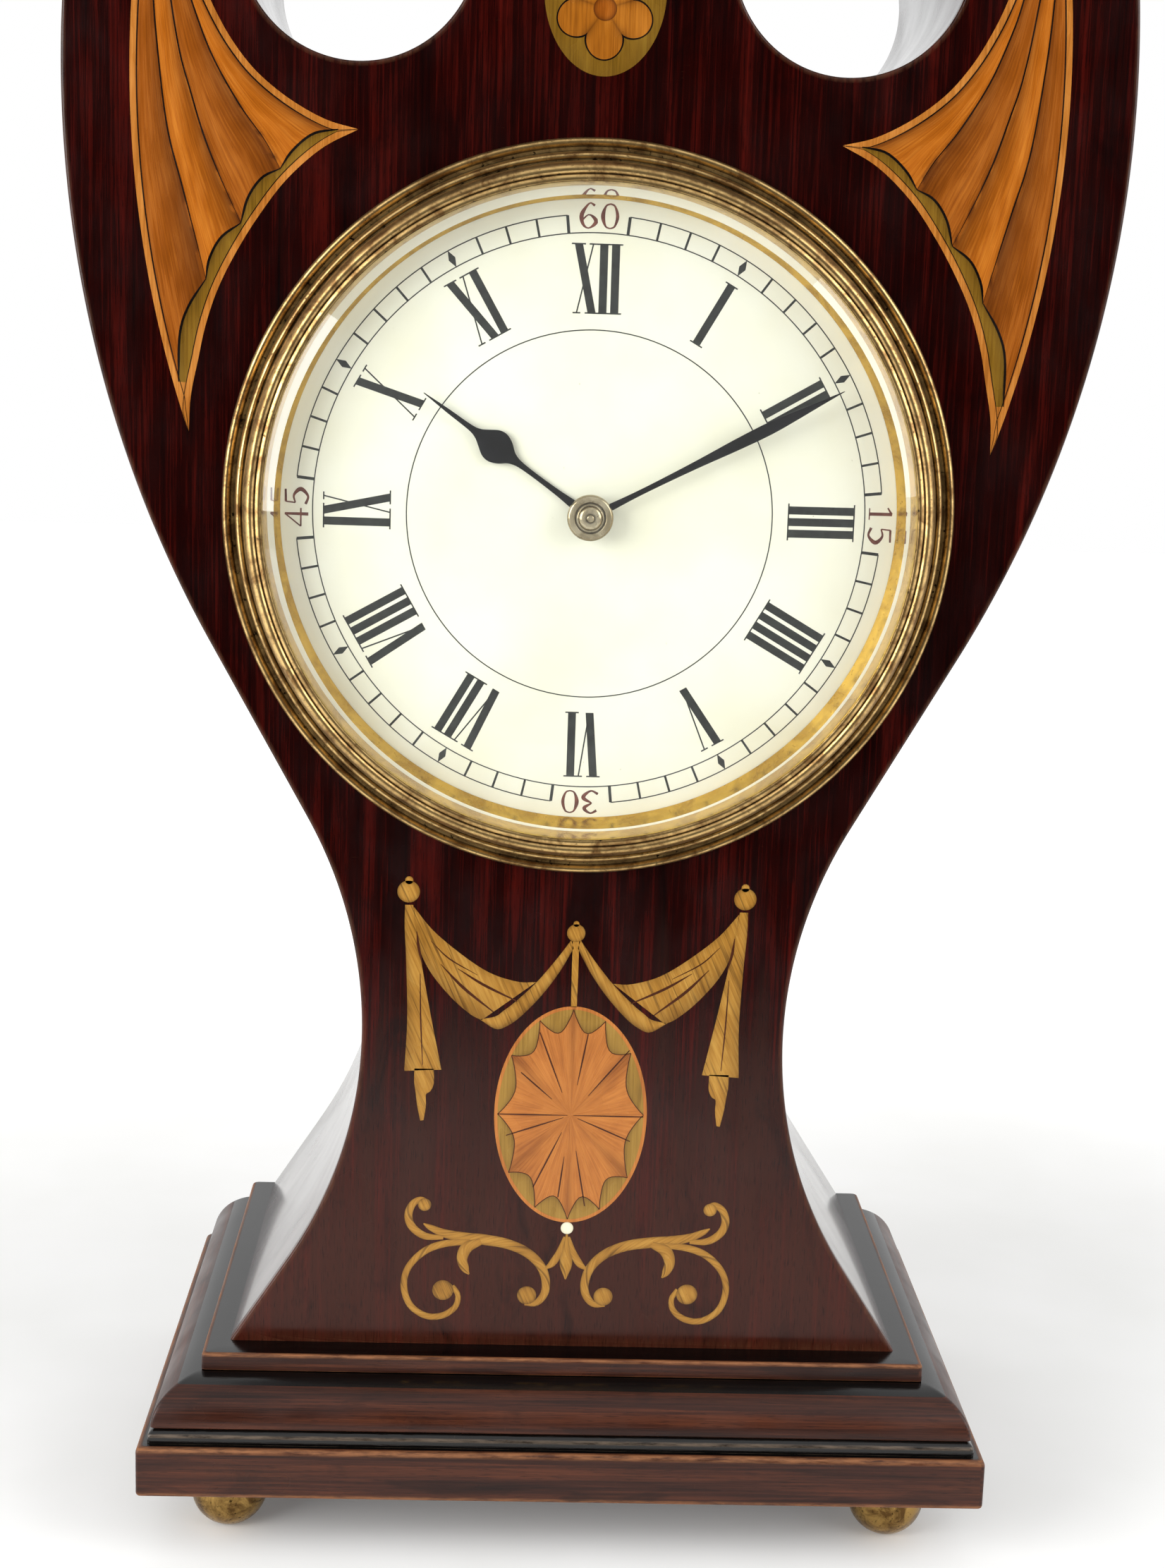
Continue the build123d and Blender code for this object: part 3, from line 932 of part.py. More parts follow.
def escapement_pieces():
    """Platform with escape wheel, pallet lever, balance, hairspring, cock and regulator index."""
    wheel_front = PLATFORM - AIR - WHEEL_THICK
    wheel_back = wheel_front + LEVER_THICK
    escape_face = saw_wheel(ESCAPE_RADIUS, ESCAPE_TEETH, ESCAPE_DEPTH)
    escape = slab(Pos(*ESCAPE_AT) * escape_face, wheel_front, wheel_back)
    escape += gear_at(ESCAPE_AT, ESCAPE_PINION_LEAVES, FOURTH_MODULE,
                      gap_opposite(ESCAPE_DIRECTION, ESCAPE_PINION_LEAVES),
                      BACK_PLATE_BACK + AIR, wheel_front)
    escape += disc(ESCAPE_AT, FINE_ARBOR_RADIUS, BACK_PLATE_BACK + AIR, PLATFORM - AIR)
    escape += disc(ESCAPE_AT, FINE_PIVOT_RADIUS, BACK_PLATE, PLATFORM_BACK)
    platform_low_x = BALANCE_AT[0] - BALANCE_RADIUS - PLATFORM_MARGIN
    platform_high_x = FOURTH_AT[0] + PLATFORM_MARGIN
    platform_low_z = FOURTH_AT[1] - PLATFORM_MARGIN
    platform_high_z = BALANCE_AT[1] + BALANCE_RADIUS + PLATFORM_MARGIN
    corners = [(platform_low_x, platform_low_z), (platform_high_x, platform_low_z),
               (platform_high_x, platform_high_z), (platform_low_x, platform_high_z)]
    platform = slab(polygon(corners), PLATFORM, PLATFORM_BACK)
    for at in ((platform_low_x, platform_low_z), (platform_low_x, platform_high_z),
               (platform_high_x, platform_high_z)):
        inward = (at[0] + (POST_RADIUS if at[0] < 0 else -POST_RADIUS),
                  at[1] + (POST_RADIUS if at[1] < BALANCE_AT[1] else -POST_RADIUS))
        platform += disc(inward, POST_RADIUS, BACK_PLATE_BACK, PLATFORM)
    for at, radius in ((FOURTH_AT, PIVOT_RADIUS), (ESCAPE_AT, FINE_PIVOT_RADIUS),
                       (LEVER_AT, FINE_PIVOT_RADIUS), (BALANCE_AT, STAFF_RADIUS + AIR)):
        platform = bored(platform, at, radius, PLATFORM, PLATFORM_BACK)
    stand_off = ESCAPE_RADIUS + PALLET_STAND_OFF
    near, aside = polar(stand_off, PALLET_SPREAD)
    tip = (LEVER_REACH - near, aside)
    bar = FINE_ARBOR_RADIUS
    lever_face = Sketch() + Circle(2 * bar)
    lever_face += Rectangle(2 * bar, 2 * (tip[1] + bar))
    for side in (-1, 1):
        lever_face += polygon([(bar / 2, side * (tip[1] + bar)), (tip[0], side * tip[1]),
                               (bar / 2, side * (tip[1] - bar))])
    fork_end = -(FORK_REACH - ROLLER_RADIUS - AIR)
    lever_face += polygon([(fork_end, -bar), (0, -bar), (0, bar), (fork_end, bar)])
    lever = slab(Pos(*LEVER_AT) * lever_face, wheel_front, wheel_back)
    lever += disc(LEVER_AT, FINE_ARBOR_RADIUS, BACK_PLATE_BACK + AIR, PLATFORM - AIR)
    lever += disc(LEVER_AT, FINE_PIVOT_RADIUS, BACK_PLATE, PLATFORM_BACK)
    balance_front = PLATFORM_BACK + BALANCE_ABOVE_PLATFORM
    balance_back = balance_front + BALANCE_THICK
    cock_front = balance_back + COCK_CLEAR
    cock_back = cock_front + COCK_THICK
    rim = Circle(BALANCE_RADIUS) - Circle(BALANCE_RADIUS - BALANCE_RIM)
    arms = Rectangle(2 * BALANCE_RADIUS - BALANCE_RIM, BALANCE_RIM)
    balance = slab(Pos(*BALANCE_AT) * (rim + arms + Circle(COLLET_RADIUS)), balance_front, balance_back)
    balance += disc(BALANCE_AT, COLLET_RADIUS, balance_back, balance_back + HAIRSPRING_HEIGHT + AIR)
    balance += disc(BALANCE_AT, ROLLER_RADIUS, wheel_front, wheel_back)
    balance += disc(BALANCE_AT, STAFF_RADIUS, BACK_PLATE_BACK + AIR, cock_front - AIR)
    balance += disc(BALANCE_AT, FINE_PIVOT_RADIUS, BACK_PLATE, cock_back)
    coil = spiral(COLLET_RADIUS + AIR / 2, HAIRSPRING_RADIUS, HAIRSPRING_THICK, HAIRSPRING_TURNS)
    coil_front = balance_back + AIR
    hairspring = slab(Pos(*BALANCE_AT) * coil, coil_front, coil_front + HAIRSPRING_HEIGHT)
    stud = disc(shifted(BALANCE_AT, HAIRSPRING_RADIUS, 0), HAIRSPRING_THICK, coil_front, cock_front)
    hairspring += stud
    foot_at = (BALANCE_AT[0] + BALANCE_RADIUS + COCK_WIDTH / 2 + AIR, BALANCE_AT[1])
    cock = disc(foot_at, COCK_WIDTH / 2, PLATFORM_BACK, cock_back)
    arm_length = foot_at[0] - BALANCE_AT[0]
    arm_face = Pos(BALANCE_AT[0] + arm_length / 2, BALANCE_AT[1]) * Rectangle(arm_length, COCK_WIDTH)
    cock += slab(Sketch() + arm_face + Pos(*BALANCE_AT) * Circle(COCK_WIDTH / 2), cock_front, cock_back)
    boss_radius = COCK_WIDTH / 4
    index_back = cock_back + AIR / 2 + INDEX_THICK
    cock += disc(BALANCE_AT, boss_radius, cock_back, index_back)
    cock = bored(cock, BALANCE_AT, FINE_PIVOT_RADIUS, cock_front, index_back)
    tail = Pos(0, INDEX_REACH / 2) * Rectangle(2 * INDEX_PIN_RADIUS, INDEX_REACH)
    index_face = Sketch() + Circle(COCK_WIDTH / 2) + tail + Pos(0, INDEX_REACH) * Circle(INDEX_PIN_RADIUS)
    index_face -= Circle(boss_radius + RUNNING_CLEARANCE)
    index = slab(Pos(*BALANCE_AT) * index_face, index_back - INDEX_THICK, index_back)
    index += disc(shifted(BALANCE_AT, INDEX_REACH, 90), INDEX_PIN_RADIUS, index_back, DRUM_BACK + BACK_SPACE)
    return {"escape_wheel": escape, "platform": platform, "pallet_lever": lever, "balance_wheel": balance,
            "hairspring": hairspring, "balance_cock": cock, "regulator_index": index}


def screw_places():
    """Axes of the screws that hold the back ring."""
    circle = (DOOR_RADIUS + RING_RADIUS) / 2
    return [polar(circle, SCREW_FIRST + 360 * n / SCREW_COUNT) for n in range(SCREW_COUNT)]


def hinge_rod(radius, low, high):
    """Upright bar on the door's hinge axis."""
    middle = (low + high) / 2
    return Pos(HINGE_X, HINGE_Y, DIAL_Z + middle) * Cylinder(radius, high - low)


def back_pieces():
    """Back ring, hinged back door, hinge pin and screws."""
    ring = disc(CENTRE, RING_RADIUS, CASE_BACK, RING_BACK)
    ring -= disc(CENTRE, RING_INNER_RADIUS, CASE_BACK, RING_BACK)
    for at in screw_places():
        ring -= disc(at, SCREW_SHANK_RADIUS, CASE_BACK, RING_BACK)
    inner = HINGE_KNUCKLE / 2
    outer = inner + HINGE_KNUCKLE
    for low, high in ((-outer, -inner - AIR / 2), (inner + AIR / 2, outer)):
        knuckle = hinge_rod(HINGE_RADIUS, low, high)
        knuckle += box(HINGE_X - HINGE_RADIUS, HINGE_X + HINGE_RADIUS, RING_BACK, HINGE_Y,
                       DIAL_Z + low, DIAL_Z + high)
        ring += knuckle - hinge_rod(HINGE_PIN_RADIUS, low, high)
    door = disc(CENTRE, DOOR_RADIUS, DOOR_FRONT, DOOR_BACK)
    door += box(HINGE_X, -DOOR_RADIUS + HINGE_RADIUS, DOOR_FRONT, DOOR_BACK,
                DIAL_Z - inner + AIR / 2, DIAL_Z + inner - AIR / 2)
    door += hinge_rod(HINGE_RADIUS, -inner + AIR / 2, inner - AIR / 2)
    door -= hinge_rod(HINGE_PIN_RADIUS + RUNNING_CLEARANCE, -inner, inner)
    pull_at = (DOOR_RADIUS - 2 * DOOR_PULL_RADIUS, 0)
    door += disc(pull_at, DOOR_PULL_RADIUS, DOOR_BACK, DOOR_BACK + DOOR_PULL_HEIGHT)
    pin = hinge_rod(HINGE_PIN_RADIUS, -outer, outer)
    screws = Compound(children=[
        disc(at, SCREW_HEAD_RADIUS, RING_BACK, RING_BACK + SCREW_HEAD_HEIGHT)
        + disc(at, SCREW_SHANK_RADIUS, CASE_BACK - SCREW_LENGTH, RING_BACK) for at in screw_places()])
    return {"back_ring": ring, "back_door": door, "hinge_pin": pin, "ring_screws": screws}


def main():
    """Build every piece and write one file for each."""
    os.makedirs("parts", exist_ok=True)
    pieces = {}
    for build in (case_pieces, plinth_pieces, dial_head_pieces, drum_pieces, plate_pieces, hands_pieces,
                  train_pieces, escapement_pieces, back_pieces):
        pieces.update(build())
    for name, solid in pieces.items():
        export_step(solid, f"parts/{name}.step")
    print(len(pieces), "pieces")


main()
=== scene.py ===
"""Inlaid mahogany mantel timepiece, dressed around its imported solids."""
import json
import logging
import math
from dataclasses import dataclass, field
from enum import Enum
from typing import Callable, Optional, Sequence, Union

import bmesh
import bpy
import numpy as np
from mathutils import Matrix, Vector
from mathutils.geometry import tessellate_polygon


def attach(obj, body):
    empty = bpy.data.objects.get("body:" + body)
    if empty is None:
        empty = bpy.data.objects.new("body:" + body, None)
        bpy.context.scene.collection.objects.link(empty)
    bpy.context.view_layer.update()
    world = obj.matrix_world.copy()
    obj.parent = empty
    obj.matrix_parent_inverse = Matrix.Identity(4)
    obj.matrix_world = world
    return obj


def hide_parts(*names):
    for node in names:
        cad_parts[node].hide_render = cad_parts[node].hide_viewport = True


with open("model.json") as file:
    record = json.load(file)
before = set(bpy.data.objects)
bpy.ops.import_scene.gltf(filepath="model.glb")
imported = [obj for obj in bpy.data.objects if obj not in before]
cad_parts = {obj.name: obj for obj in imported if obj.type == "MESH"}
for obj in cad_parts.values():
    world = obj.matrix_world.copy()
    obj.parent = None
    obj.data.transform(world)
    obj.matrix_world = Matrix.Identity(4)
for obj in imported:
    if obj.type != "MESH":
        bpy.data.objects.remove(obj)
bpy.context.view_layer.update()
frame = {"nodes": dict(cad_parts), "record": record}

LOG = logging.getLogger("timepiece")
MM = 0.001
DIAL_Z = 155.0          # dial's middle above the floor
CASE_FRONT = -28.25     # face of the front veneer
CORE_FRONT = -26.25     # back of the front panel
CASE_BACK = 37.75
MERGE = 1e-7            # metres, doubled points closer than this become one
SHARP = math.radians(32)
SPLINE_STEPS = 24
DISC_RINGS = 6
DISC_POINTS = 40
PINHOLE = 0.02          # share of a disc's radius left open in its middle
GRAIN_UV = "grain"      # millimetres along and across the grain
TONE = "tone"           # wear, sand shading or patina, 0 to 1
Curve = np.ndarray
Pair = tuple[float, float]
Triple = tuple[float, float, float]
Colour = tuple[float, float, float, float]
Socket = bpy.types.NodeSocket
Tree = bpy.types.NodeTree
Tone = Union[float, np.ndarray]
Outline = Callable[[float], Curve]
FRONT = (0, -1, 0)      # way that the case front looks
GROUND_LIFT = 0.01      # layers of the inlay, ahead of the case front
PIECE_LIFT = 0.02
SCALLOP_LIFT = 0.03
LINE_LIFT = 0.04
SPOT_LIFT = 0.05


class Slot(Enum):
    """Material slots of the record."""
    MAHOGANY = "mahogany"
    EBONISED = "ebonised"
    SATINWOOD = "satinwood"
    BRASS = "brass"
    GILT = "gilt"
    GLASS = "glass"
    ENAMEL = "enamel"
    BLUED = "blued_steel"
    STEEL = "steel"
    NICKEL = "nickel"


class Coords(Enum):
    """Where a finish's pattern is read from."""
    GRAIN_MAP = "grain map"
    UPRIGHT = "object, grain upright"
    LEVEL = "object, grain level"


def linear(code: str) -> Colour:
    """Turn an sRGB hex colour into linear light.

    Args:
        code: colour as #rrggbb.

    Returns:
        Linear red, green, blue and full opacity.
    """
    parts = [int(code[i:i + 2], 16) / 255 for i in (1, 3, 5)]
    light = [p / 12.92 if p <= 0.04045 else ((p + 0.055) / 1.055) ** 2.4 for p in parts]
    return light[0], light[1], light[2], 1.0


def grey(value: float) -> Colour:
    """Linear grey of one value."""
    return value, value, value, 1.0


def add_node(tree: Tree, kind: str, inputs: Optional[dict] = None, stops: Sequence[tuple[float, Colour]] = (),
             out: Union[int, str] = 0, **settings: object) -> Optional[Socket]:
    """Add one node with its settings, values and links.

    Args:
        tree: node tree that gets the node.
        kind: node type after "ShaderNode".
        inputs: socket name or number to a value, or to an output to link.
        stops: place and colour of each stop, where the node has a ramp.
        out: name or number of the output that is wanted.
        settings: attributes of the node.

    Returns:
        The wanted output, or nothing where the node has none.
    """
    node = tree.nodes.new("ShaderNode" + kind)
    for key, value in settings.items():
        setattr(node, key, value)
    for key, value in (inputs or {}).items():
        if isinstance(value, Socket):
            tree.links.new(value, node.inputs[key])
        else:
            node.inputs[key].default_value = value
    for n, (place, colour) in enumerate(stops):
        elements = node.color_ramp.elements
        element = elements[n] if n < len(elements) else elements.new(place)
        element.position = place
        element.color = colour
    return node.outputs[out] if len(node.outputs) else None


def millimetres(tree: Tree, coords: Coords) -> Socket:
    """Coordinates in millimetres, first along the grain, then across it.

    Args:
        tree: node tree.
        coords: where the pattern is read from.

    Returns:
        Vector output.
    """
    if coords is Coords.GRAIN_MAP:
        return add_node(tree, "UVMap", uv_map=GRAIN_UV)
    place = add_node(tree, "TexCoord", out="Object")
    scaled = add_node(tree, "VectorMath", {0: place, "Scale": 1 / MM}, operation="SCALE")
    if coords is Coords.LEVEL:
        return scaled
    x, y, z = (add_node(tree, "SeparateXYZ", {0: scaled}, out=n) for n in range(3))
    return add_node(tree, "CombineXYZ", {0: z, 1: x, 2: y})


def mottle(tree: Tree, place: Socket, size: Triple, detail: float = 3.0, roughness: float = 0.55,
           waver: float = 0.0) -> Socket:
    """Soft random mottling whose features have the given size.

    Args:
        tree: node tree.
        place: coordinates in millimetres.
        size: feature size along each coordinate in millimetres.
        detail: octaves.
        roughness: weight of the finer octaves.
        waver: waviness.

    Returns:
        Value output, about 0.2 to 0.8.
    """
    spread = add_node(tree, "Mapping", {"Vector": place, "Scale": tuple(1 / s for s in size)})
    return add_node(tree, "TexNoise", {
        "Vector": spread, "Scale": 1.0, "Detail": detail, "Roughness": roughness, "Distortion": waver})


def between(start: float, first: Colour, full: float, last: Colour) -> list[tuple[float, Colour]]:
    """Two stops of a ramp, from the first colour to the last."""
    return [(start, first), (full, last)]


def rising(start: float, full: float, most: float = 1.0) -> list[tuple[float, Colour]]:
    """Stops of a mask that rises from nothing to its most over a pattern's high places."""
    return between(start, grey(0.0), full, grey(most))


def overlaid(tree: Tree, ground: Socket, layers: Sequence[tuple[Socket, str]]) -> Socket:
    """Lay colours over a ground one after another, each where its mask says.

    Args:
        tree: node tree.
        ground: colour output underneath.
        layers: mask and hex colour of each layer.

    Returns:
        Colour output.
    """
    for mask, colour in layers:
        ground = add_node(tree, "Mix", {0: mask, 6: ground, 7: linear(colour)}, out=2, data_type="RGBA")
    return ground


@dataclass(frozen=True)
class Finish:
    """One surface finish, made into a material the first time that it is used."""
    name: str

    def surface(self, tree: Tree) -> Socket:
        """Shader output of the finish."""
        raise NotImplementedError

    def material(self) -> bpy.types.Material:
        """Find or make the finish's material.

        Returns:
            The material.
        """
        made = bpy.data.materials.get(self.name)
        if made is None:
            made = bpy.data.materials.new(self.name)
            made.use_nodes = True
            made.node_tree.nodes.clear()
            add_node(made.node_tree, "OutputMaterial", {"Surface": self.surface(made.node_tree)})
        return made


@dataclass(frozen=True)
class PolishedWood(Finish):
    """Hardwood, scraped and French polished.

    Long grain streaks, short dark pores and slow red figure show under a thin glossy skin; the tone
    attribute marks arrises where the polish has worn through to a paler, duller wood.
    """
    dark: str = "#0a0101"
    mid: str = "#1d0302"
    light: str = "#3a0b07"
    worn: str = "#7c5136"
    streak: float = 0.5         # width of a grain streak
    length: float = 24.0        # length of a grain streak
    figure: Pair = (42.0, 3.6)  # length and width of the slow figure
    figure_share: float = 0.48
    pore: Pair = (2.6, 0.16)    # length and width of a pore, drawn about twice as coarse as real
    gloss: float = 0.2
    specular: float = 0.3
    coat: float = 0.0
    scratch: float = 0.1
    stain: float = 0.5
    stain_size: Triple = (18.0, 7.0, 7.0)   # millimetres along and across the grain
    scratch_size: Triple = (0.3, 7.0, 7.0)
    rub_size: Triple = (5.0, 0.7, 0.7)
    smear_size: Triple = (14.0, 9.0, 9.0)
    relief: float = 0.03        # depth of the pores and of the uneven polish
    foot_brown: str = "#4a2418"
    fade_most: float = 0.5
    fade_wander: float = 60.0   # how far the browner zone's edge wanders with the figure
    fade: Pair = (-900.0, -901.0)   # height where the browner tone starts and where it is full, far down for none
    coords: Coords = Coords.GRAIN_MAP

    def surface(self, tree: Tree) -> Socket:
        """Grain, figure, pores, stains, wear and scratches.

        Args:
            tree: node tree.

        Returns:
            Shader output.
        """
        place = millimetres(tree, self.coords)
        grain = mottle(tree, place, (self.length, self.streak, self.streak), 5.0, 0.62, 0.4)
        figure = mottle(tree, place, (self.figure[0], self.figure[1], self.figure[1]), 3.0, 0.5, 0.7)
        both = add_node(tree, "Mix", {0: self.figure_share, 2: grain, 3: figure}, data_type="FLOAT")
        wood = add_node(tree, "ValToRGB", {0: both}, [
            (0.34, linear(self.dark)), (0.5, linear(self.mid)), (0.66, linear(self.light))])
        height = add_node(tree, "SeparateXYZ", {0: place})
        patches = add_node(tree, "Math", {0: figure, 1: self.fade_wander, 2: height},
                           operation="MULTIPLY_ADD")
        start, full = (at + self.fade_wander / 2 for at in self.fade)
        # browner tone over the lower part of the case
        browned_low = add_node(tree, "MapRange", {
            "Value": patches, "From Min": start, "From Max": full, "To Max": self.fade_most})
        pores = mottle(tree, place, (self.pore[0], self.pore[1], self.pore[1]), 1.0)
        stains = mottle(tree, place, self.stain_size, 4.0, 0.6, 1.2)
        marks = mottle(tree, place, self.scratch_size, 3.0, 0.7, 2.5)
        rub = mottle(tree, place, self.rub_size, 5.0, 0.7)
        tone = add_node(tree, "Attribute", attribute_name=TONE, out="Fac")
        patchy = add_node(tree, "ValToRGB", {0: rub}, between(0.36, grey(0.1), 0.6, grey(1.0)))
        gone = add_node(tree, "Math", {0: tone, 1: patchy}, operation="MULTIPLY", use_clamp=True)
        open_pores = add_node(tree, "ValToRGB", {0: pores}, rising(0.6, 0.7, 0.6))
        stained = add_node(tree, "ValToRGB", {0: stains}, rising(0.56, 0.7, self.stain))
        scratched = add_node(tree, "ValToRGB", {0: marks}, rising(0.72, 0.76, self.scratch))
        wood = overlaid(tree, wood, [
            (browned_low, self.foot_brown), (open_pores, self.dark), (stained, self.dark), (scratched, self.worn),
            (gone, self.worn)])
        smear = mottle(tree, place, self.smear_size, 3.0)
        skin = add_node(tree, "ValToRGB", {0: smear}, between(
            0.3, grey(self.gloss * 0.8), 0.7, grey(self.gloss * 1.5)))
        rough = add_node(tree, "Math", {0: gone, 1: 0.3, 2: skin}, operation="MULTIPLY_ADD", use_clamp=True)
        uneven = add_node(tree, "Mix", {0: 0.3, 2: pores, 3: smear}, data_type="FLOAT")
        return add_node(tree, "BsdfPrincipled", {
            "Base Color": wood, "Roughness": rough, "Specular IOR Level": self.specular,
            "Coat Weight": self.coat, "Coat Roughness": 0.12,
            "Normal": add_node(tree, "Bump", {
                "Height": uneven, "Distance": self.relief * MM, "Strength": 0.5})})


@dataclass(frozen=True)
class InlayWood(Finish):
    """Thin inlaid wood, laid flush and polished with the case.

    Fine straight grain with darker veins; the tone attribute is the brown shading that hot sand leaves along
    one edge, and a few knots have lifted and filled with dirt.
    """
    light: str = "#c57620"
    mid: str = "#a85a0d"
    dark: str = "#864507"
    sand: str = "#3c1a06"
    streak: float = 0.3         # width of a grain streak
    length: float = 9.0         # length of a grain streak
    vein: float = 0.15          # strength of the darker veins
    lean: float = 0.0           # grain's lean from the piece's own grain map, in degrees
    knot: float = 0.35
    cloud_size: Triple = (9.0, 4.0, 4.0)    # millimetres along and across the grain
    vein_size: Triple = (16.0, 0.45, 0.45)
    knot_size: Triple = (1.1, 0.6, 0.6)
    cloud_share: float = 0.45
    gloss: Pair = (0.2, 0.34)   # least and most roughness of the polish
    relief: float = 0.015       # depth of the grain

    def surface(self, tree: Tree) -> Socket:
        """Grain, veins, shading, small knots and polish.

        Args:
            tree: node tree.

        Returns:
            Shader output.
        """
        place = add_node(tree, "Mapping", {"Vector": millimetres(tree, Coords.GRAIN_MAP),
                                           "Rotation": (0.0, 0.0, math.radians(self.lean))})
        grain = mottle(tree, place, (self.length, self.streak, 1.0), 4.0, 0.6, 0.3)
        cloud = mottle(tree, place, self.cloud_size, 2.0)
        both = add_node(tree, "Mix", {0: self.cloud_share, 2: grain, 3: cloud}, data_type="FLOAT")
        wood = add_node(tree, "ValToRGB", {0: both}, [
            (0.32, linear(self.dark)), (0.48, linear(self.mid)), (0.66, linear(self.light))])
        veins = mottle(tree, place, self.vein_size, 1.0, 0.5, 0.2)
        knots = mottle(tree, place, self.knot_size, 2.0, 0.5)
        tone = add_node(tree, "Attribute", attribute_name=TONE, out="Fac")
        veined = add_node(tree, "ValToRGB", {0: veins}, rising(0.58, 0.68, self.vein))
        lifted = add_node(tree, "ValToRGB", {0: knots}, rising(0.74, 0.79, self.knot))
        wood = overlaid(tree, wood, [(mask, self.sand) for mask in (veined, tone, lifted)])
        skin = add_node(tree, "ValToRGB", {0: cloud}, between(
            0.3, grey(self.gloss[0]), 0.7, grey(self.gloss[1])))
        return add_node(tree, "BsdfPrincipled", {
            "Base Color": wood, "Roughness": skin, "Specular IOR Level": 0.3,
            "Normal": add_node(tree, "Bump", {
                "Height": grain, "Distance": self.relief * MM, "Strength": 0.4})})


@dataclass(frozen=True)
class AgedMetal(Finish):
    """Turned brass or steel whose lacquer has worn.

    Cloudy tarnish, dark specks and small bright rubs; the tone attribute darkens the metal, as in the
    grooves.
    """
    bright: str = "#b08d52"
    dull: str = "#6e4c28"
    dark_marks: str = "#140c06"
    gloss: float = 0.24
    speck: float = 0.75
    cloud: float = 5.0          # width of a tarnish cloud
    speck_size: float = 0.55
    relief: float = 0.025       # depth of the specks

    def surface(self, tree: Tree) -> Socket:
        """Tarnish, specks and darkening over a metal.

        Args:
            tree: node tree.

        Returns:
            Shader output.
        """
        place = millimetres(tree, Coords.LEVEL)
        stain = mottle(tree, place, (self.cloud,) * 3, 5.0, 0.7, 0.6)
        metal = add_node(tree, "ValToRGB", {0: stain}, between(
            0.38, linear(self.dull), 0.58, linear(self.bright)))
        fine = mottle(tree, place, (self.speck_size,) * 3, 3.0, 0.6)
        specks = add_node(tree, "ValToRGB", {0: fine}, rising(0.6, 0.7, self.speck))
        tone = add_node(tree, "Attribute", attribute_name=TONE, out="Fac")
        darkened = add_node(tree, "Math", {0: tone, 1: specks}, operation="ADD", use_clamp=True)
        metal = overlaid(tree, metal, [(darkened, self.dark_marks)])
        skin = add_node(tree, "ValToRGB", {0: stain}, between(
            0.3, grey(self.gloss * 1.5), 0.65, grey(self.gloss)))
        rough = add_node(tree, "Math", {0: darkened, 1: 0.4, 2: skin}, operation="MULTIPLY_ADD", use_clamp=True)
        return add_node(tree, "BsdfPrincipled", {
            "Base Color": metal, "Metallic": 1.0, "Roughness": rough,
            "Normal": add_node(tree, "Bump", {
                "Height": fine, "Distance": self.relief * MM, "Strength": 0.5})})


@dataclass(frozen=True)
class FiredEnamel(Finish):
    """Vitreous enamel fired on copper: milky, glossy, with faint yellowing and pin specks."""
    pale: str = "#faf9ee"
    aged: str = "#f3f0dd"
    pin: str = "#8f8563"
    cloud: float = 26.0         # width of the yellowing
    pin_size: float = 0.45
    relief: float = 0.02        # depth of the skin's waves

    def surface(self, tree: Tree) -> Socket:
        """Clouding and pinholes under a glassy skin.

        Args:
            tree: node tree.

        Returns:
            Shader output.
        """
        place = millimetres(tree, Coords.LEVEL)
        cloud = mottle(tree, place, (self.cloud,) * 3)
        colour = add_node(tree, "ValToRGB", {0: cloud}, between(
            0.35, linear(self.aged), 0.62, linear(self.pale)))
        pins = mottle(tree, place, (self.pin_size,) * 3, 1.0)
        pricked = add_node(tree, "ValToRGB", {0: pins}, rising(0.79, 0.84, 0.5))
        colour = overlaid(tree, colour, [(pricked, self.pin)])
        return add_node(tree, "BsdfPrincipled", {
            "Base Color": colour, "Roughness": 0.3, "Coat Weight": 0.4, "Coat Roughness": 0.06,
            "Normal": add_node(tree, "Bump", {
                "Height": cloud, "Distance": self.relief * MM, "Strength": 0.2})})


@dataclass(frozen=True)
class FiredInk(Finish):
    """Enamel paint fired on the dial: thin strokes that vary a little in strength."""
    full: str = "#0d0f0e"
    thin: str = "#2b2f2d"
    patch: float = 1.1          # width of a stronger or weaker patch

    def surface(self, tree: Tree) -> Socket:
        """Uneven strength of the painted stroke.

        Args:
            tree: node tree.

        Returns:
            Shader output.
        """
        body = mottle(tree, millimetres(tree, Coords.LEVEL), (self.patch,) * 3)
        colour = add_node(tree, "ValToRGB", {0: body}, between(
            0.4, linear(self.full), 0.72, linear(self.thin)))
        return add_node(tree, "BsdfPrincipled", {
            "Base Color": colour, "Roughness": 0.4, "Specular IOR Level": 0.3})


@dataclass(frozen=True)
class ClearGlass(Finish):
    """Ground and polished crown glass: clear, faintly green, and open to light for shadows."""
    tint: str = "#fcfdfa"
    index: float = 1.52
    wave: float = 22.0          # width and depth of the faces' waves
    relief: float = 0.02

    def surface(self, tree: Tree) -> Socket:
        """Refraction for sight, plain transparency for shadows.

        Args:
            tree: node tree.

        Returns:
            Shader output.
        """
        waves = mottle(tree, millimetres(tree, Coords.LEVEL), (self.wave,) * 3, 2.0)
        bent = add_node(tree, "BsdfPrincipled", {
            "Base Color": linear(self.tint), "Roughness": 0.0, "IOR": self.index, "Transmission Weight": 1.0,
            "Normal": add_node(tree, "Bump", {
                "Height": waves, "Distance": self.relief * MM, "Strength": 0.15})})
        clear = add_node(tree, "BsdfTransparent", {"Color": linear(self.tint)})
        shadow, scattered = (
            add_node(tree, "LightPath", out=ray) for ray in ("Is Shadow Ray", "Is Diffuse Ray"))
        either = add_node(tree, "Math", {0: shadow, 1: scattered}, operation="MAXIMUM")
        return add_node(tree, "MixShader", {0: either, 1: bent, 2: clear})


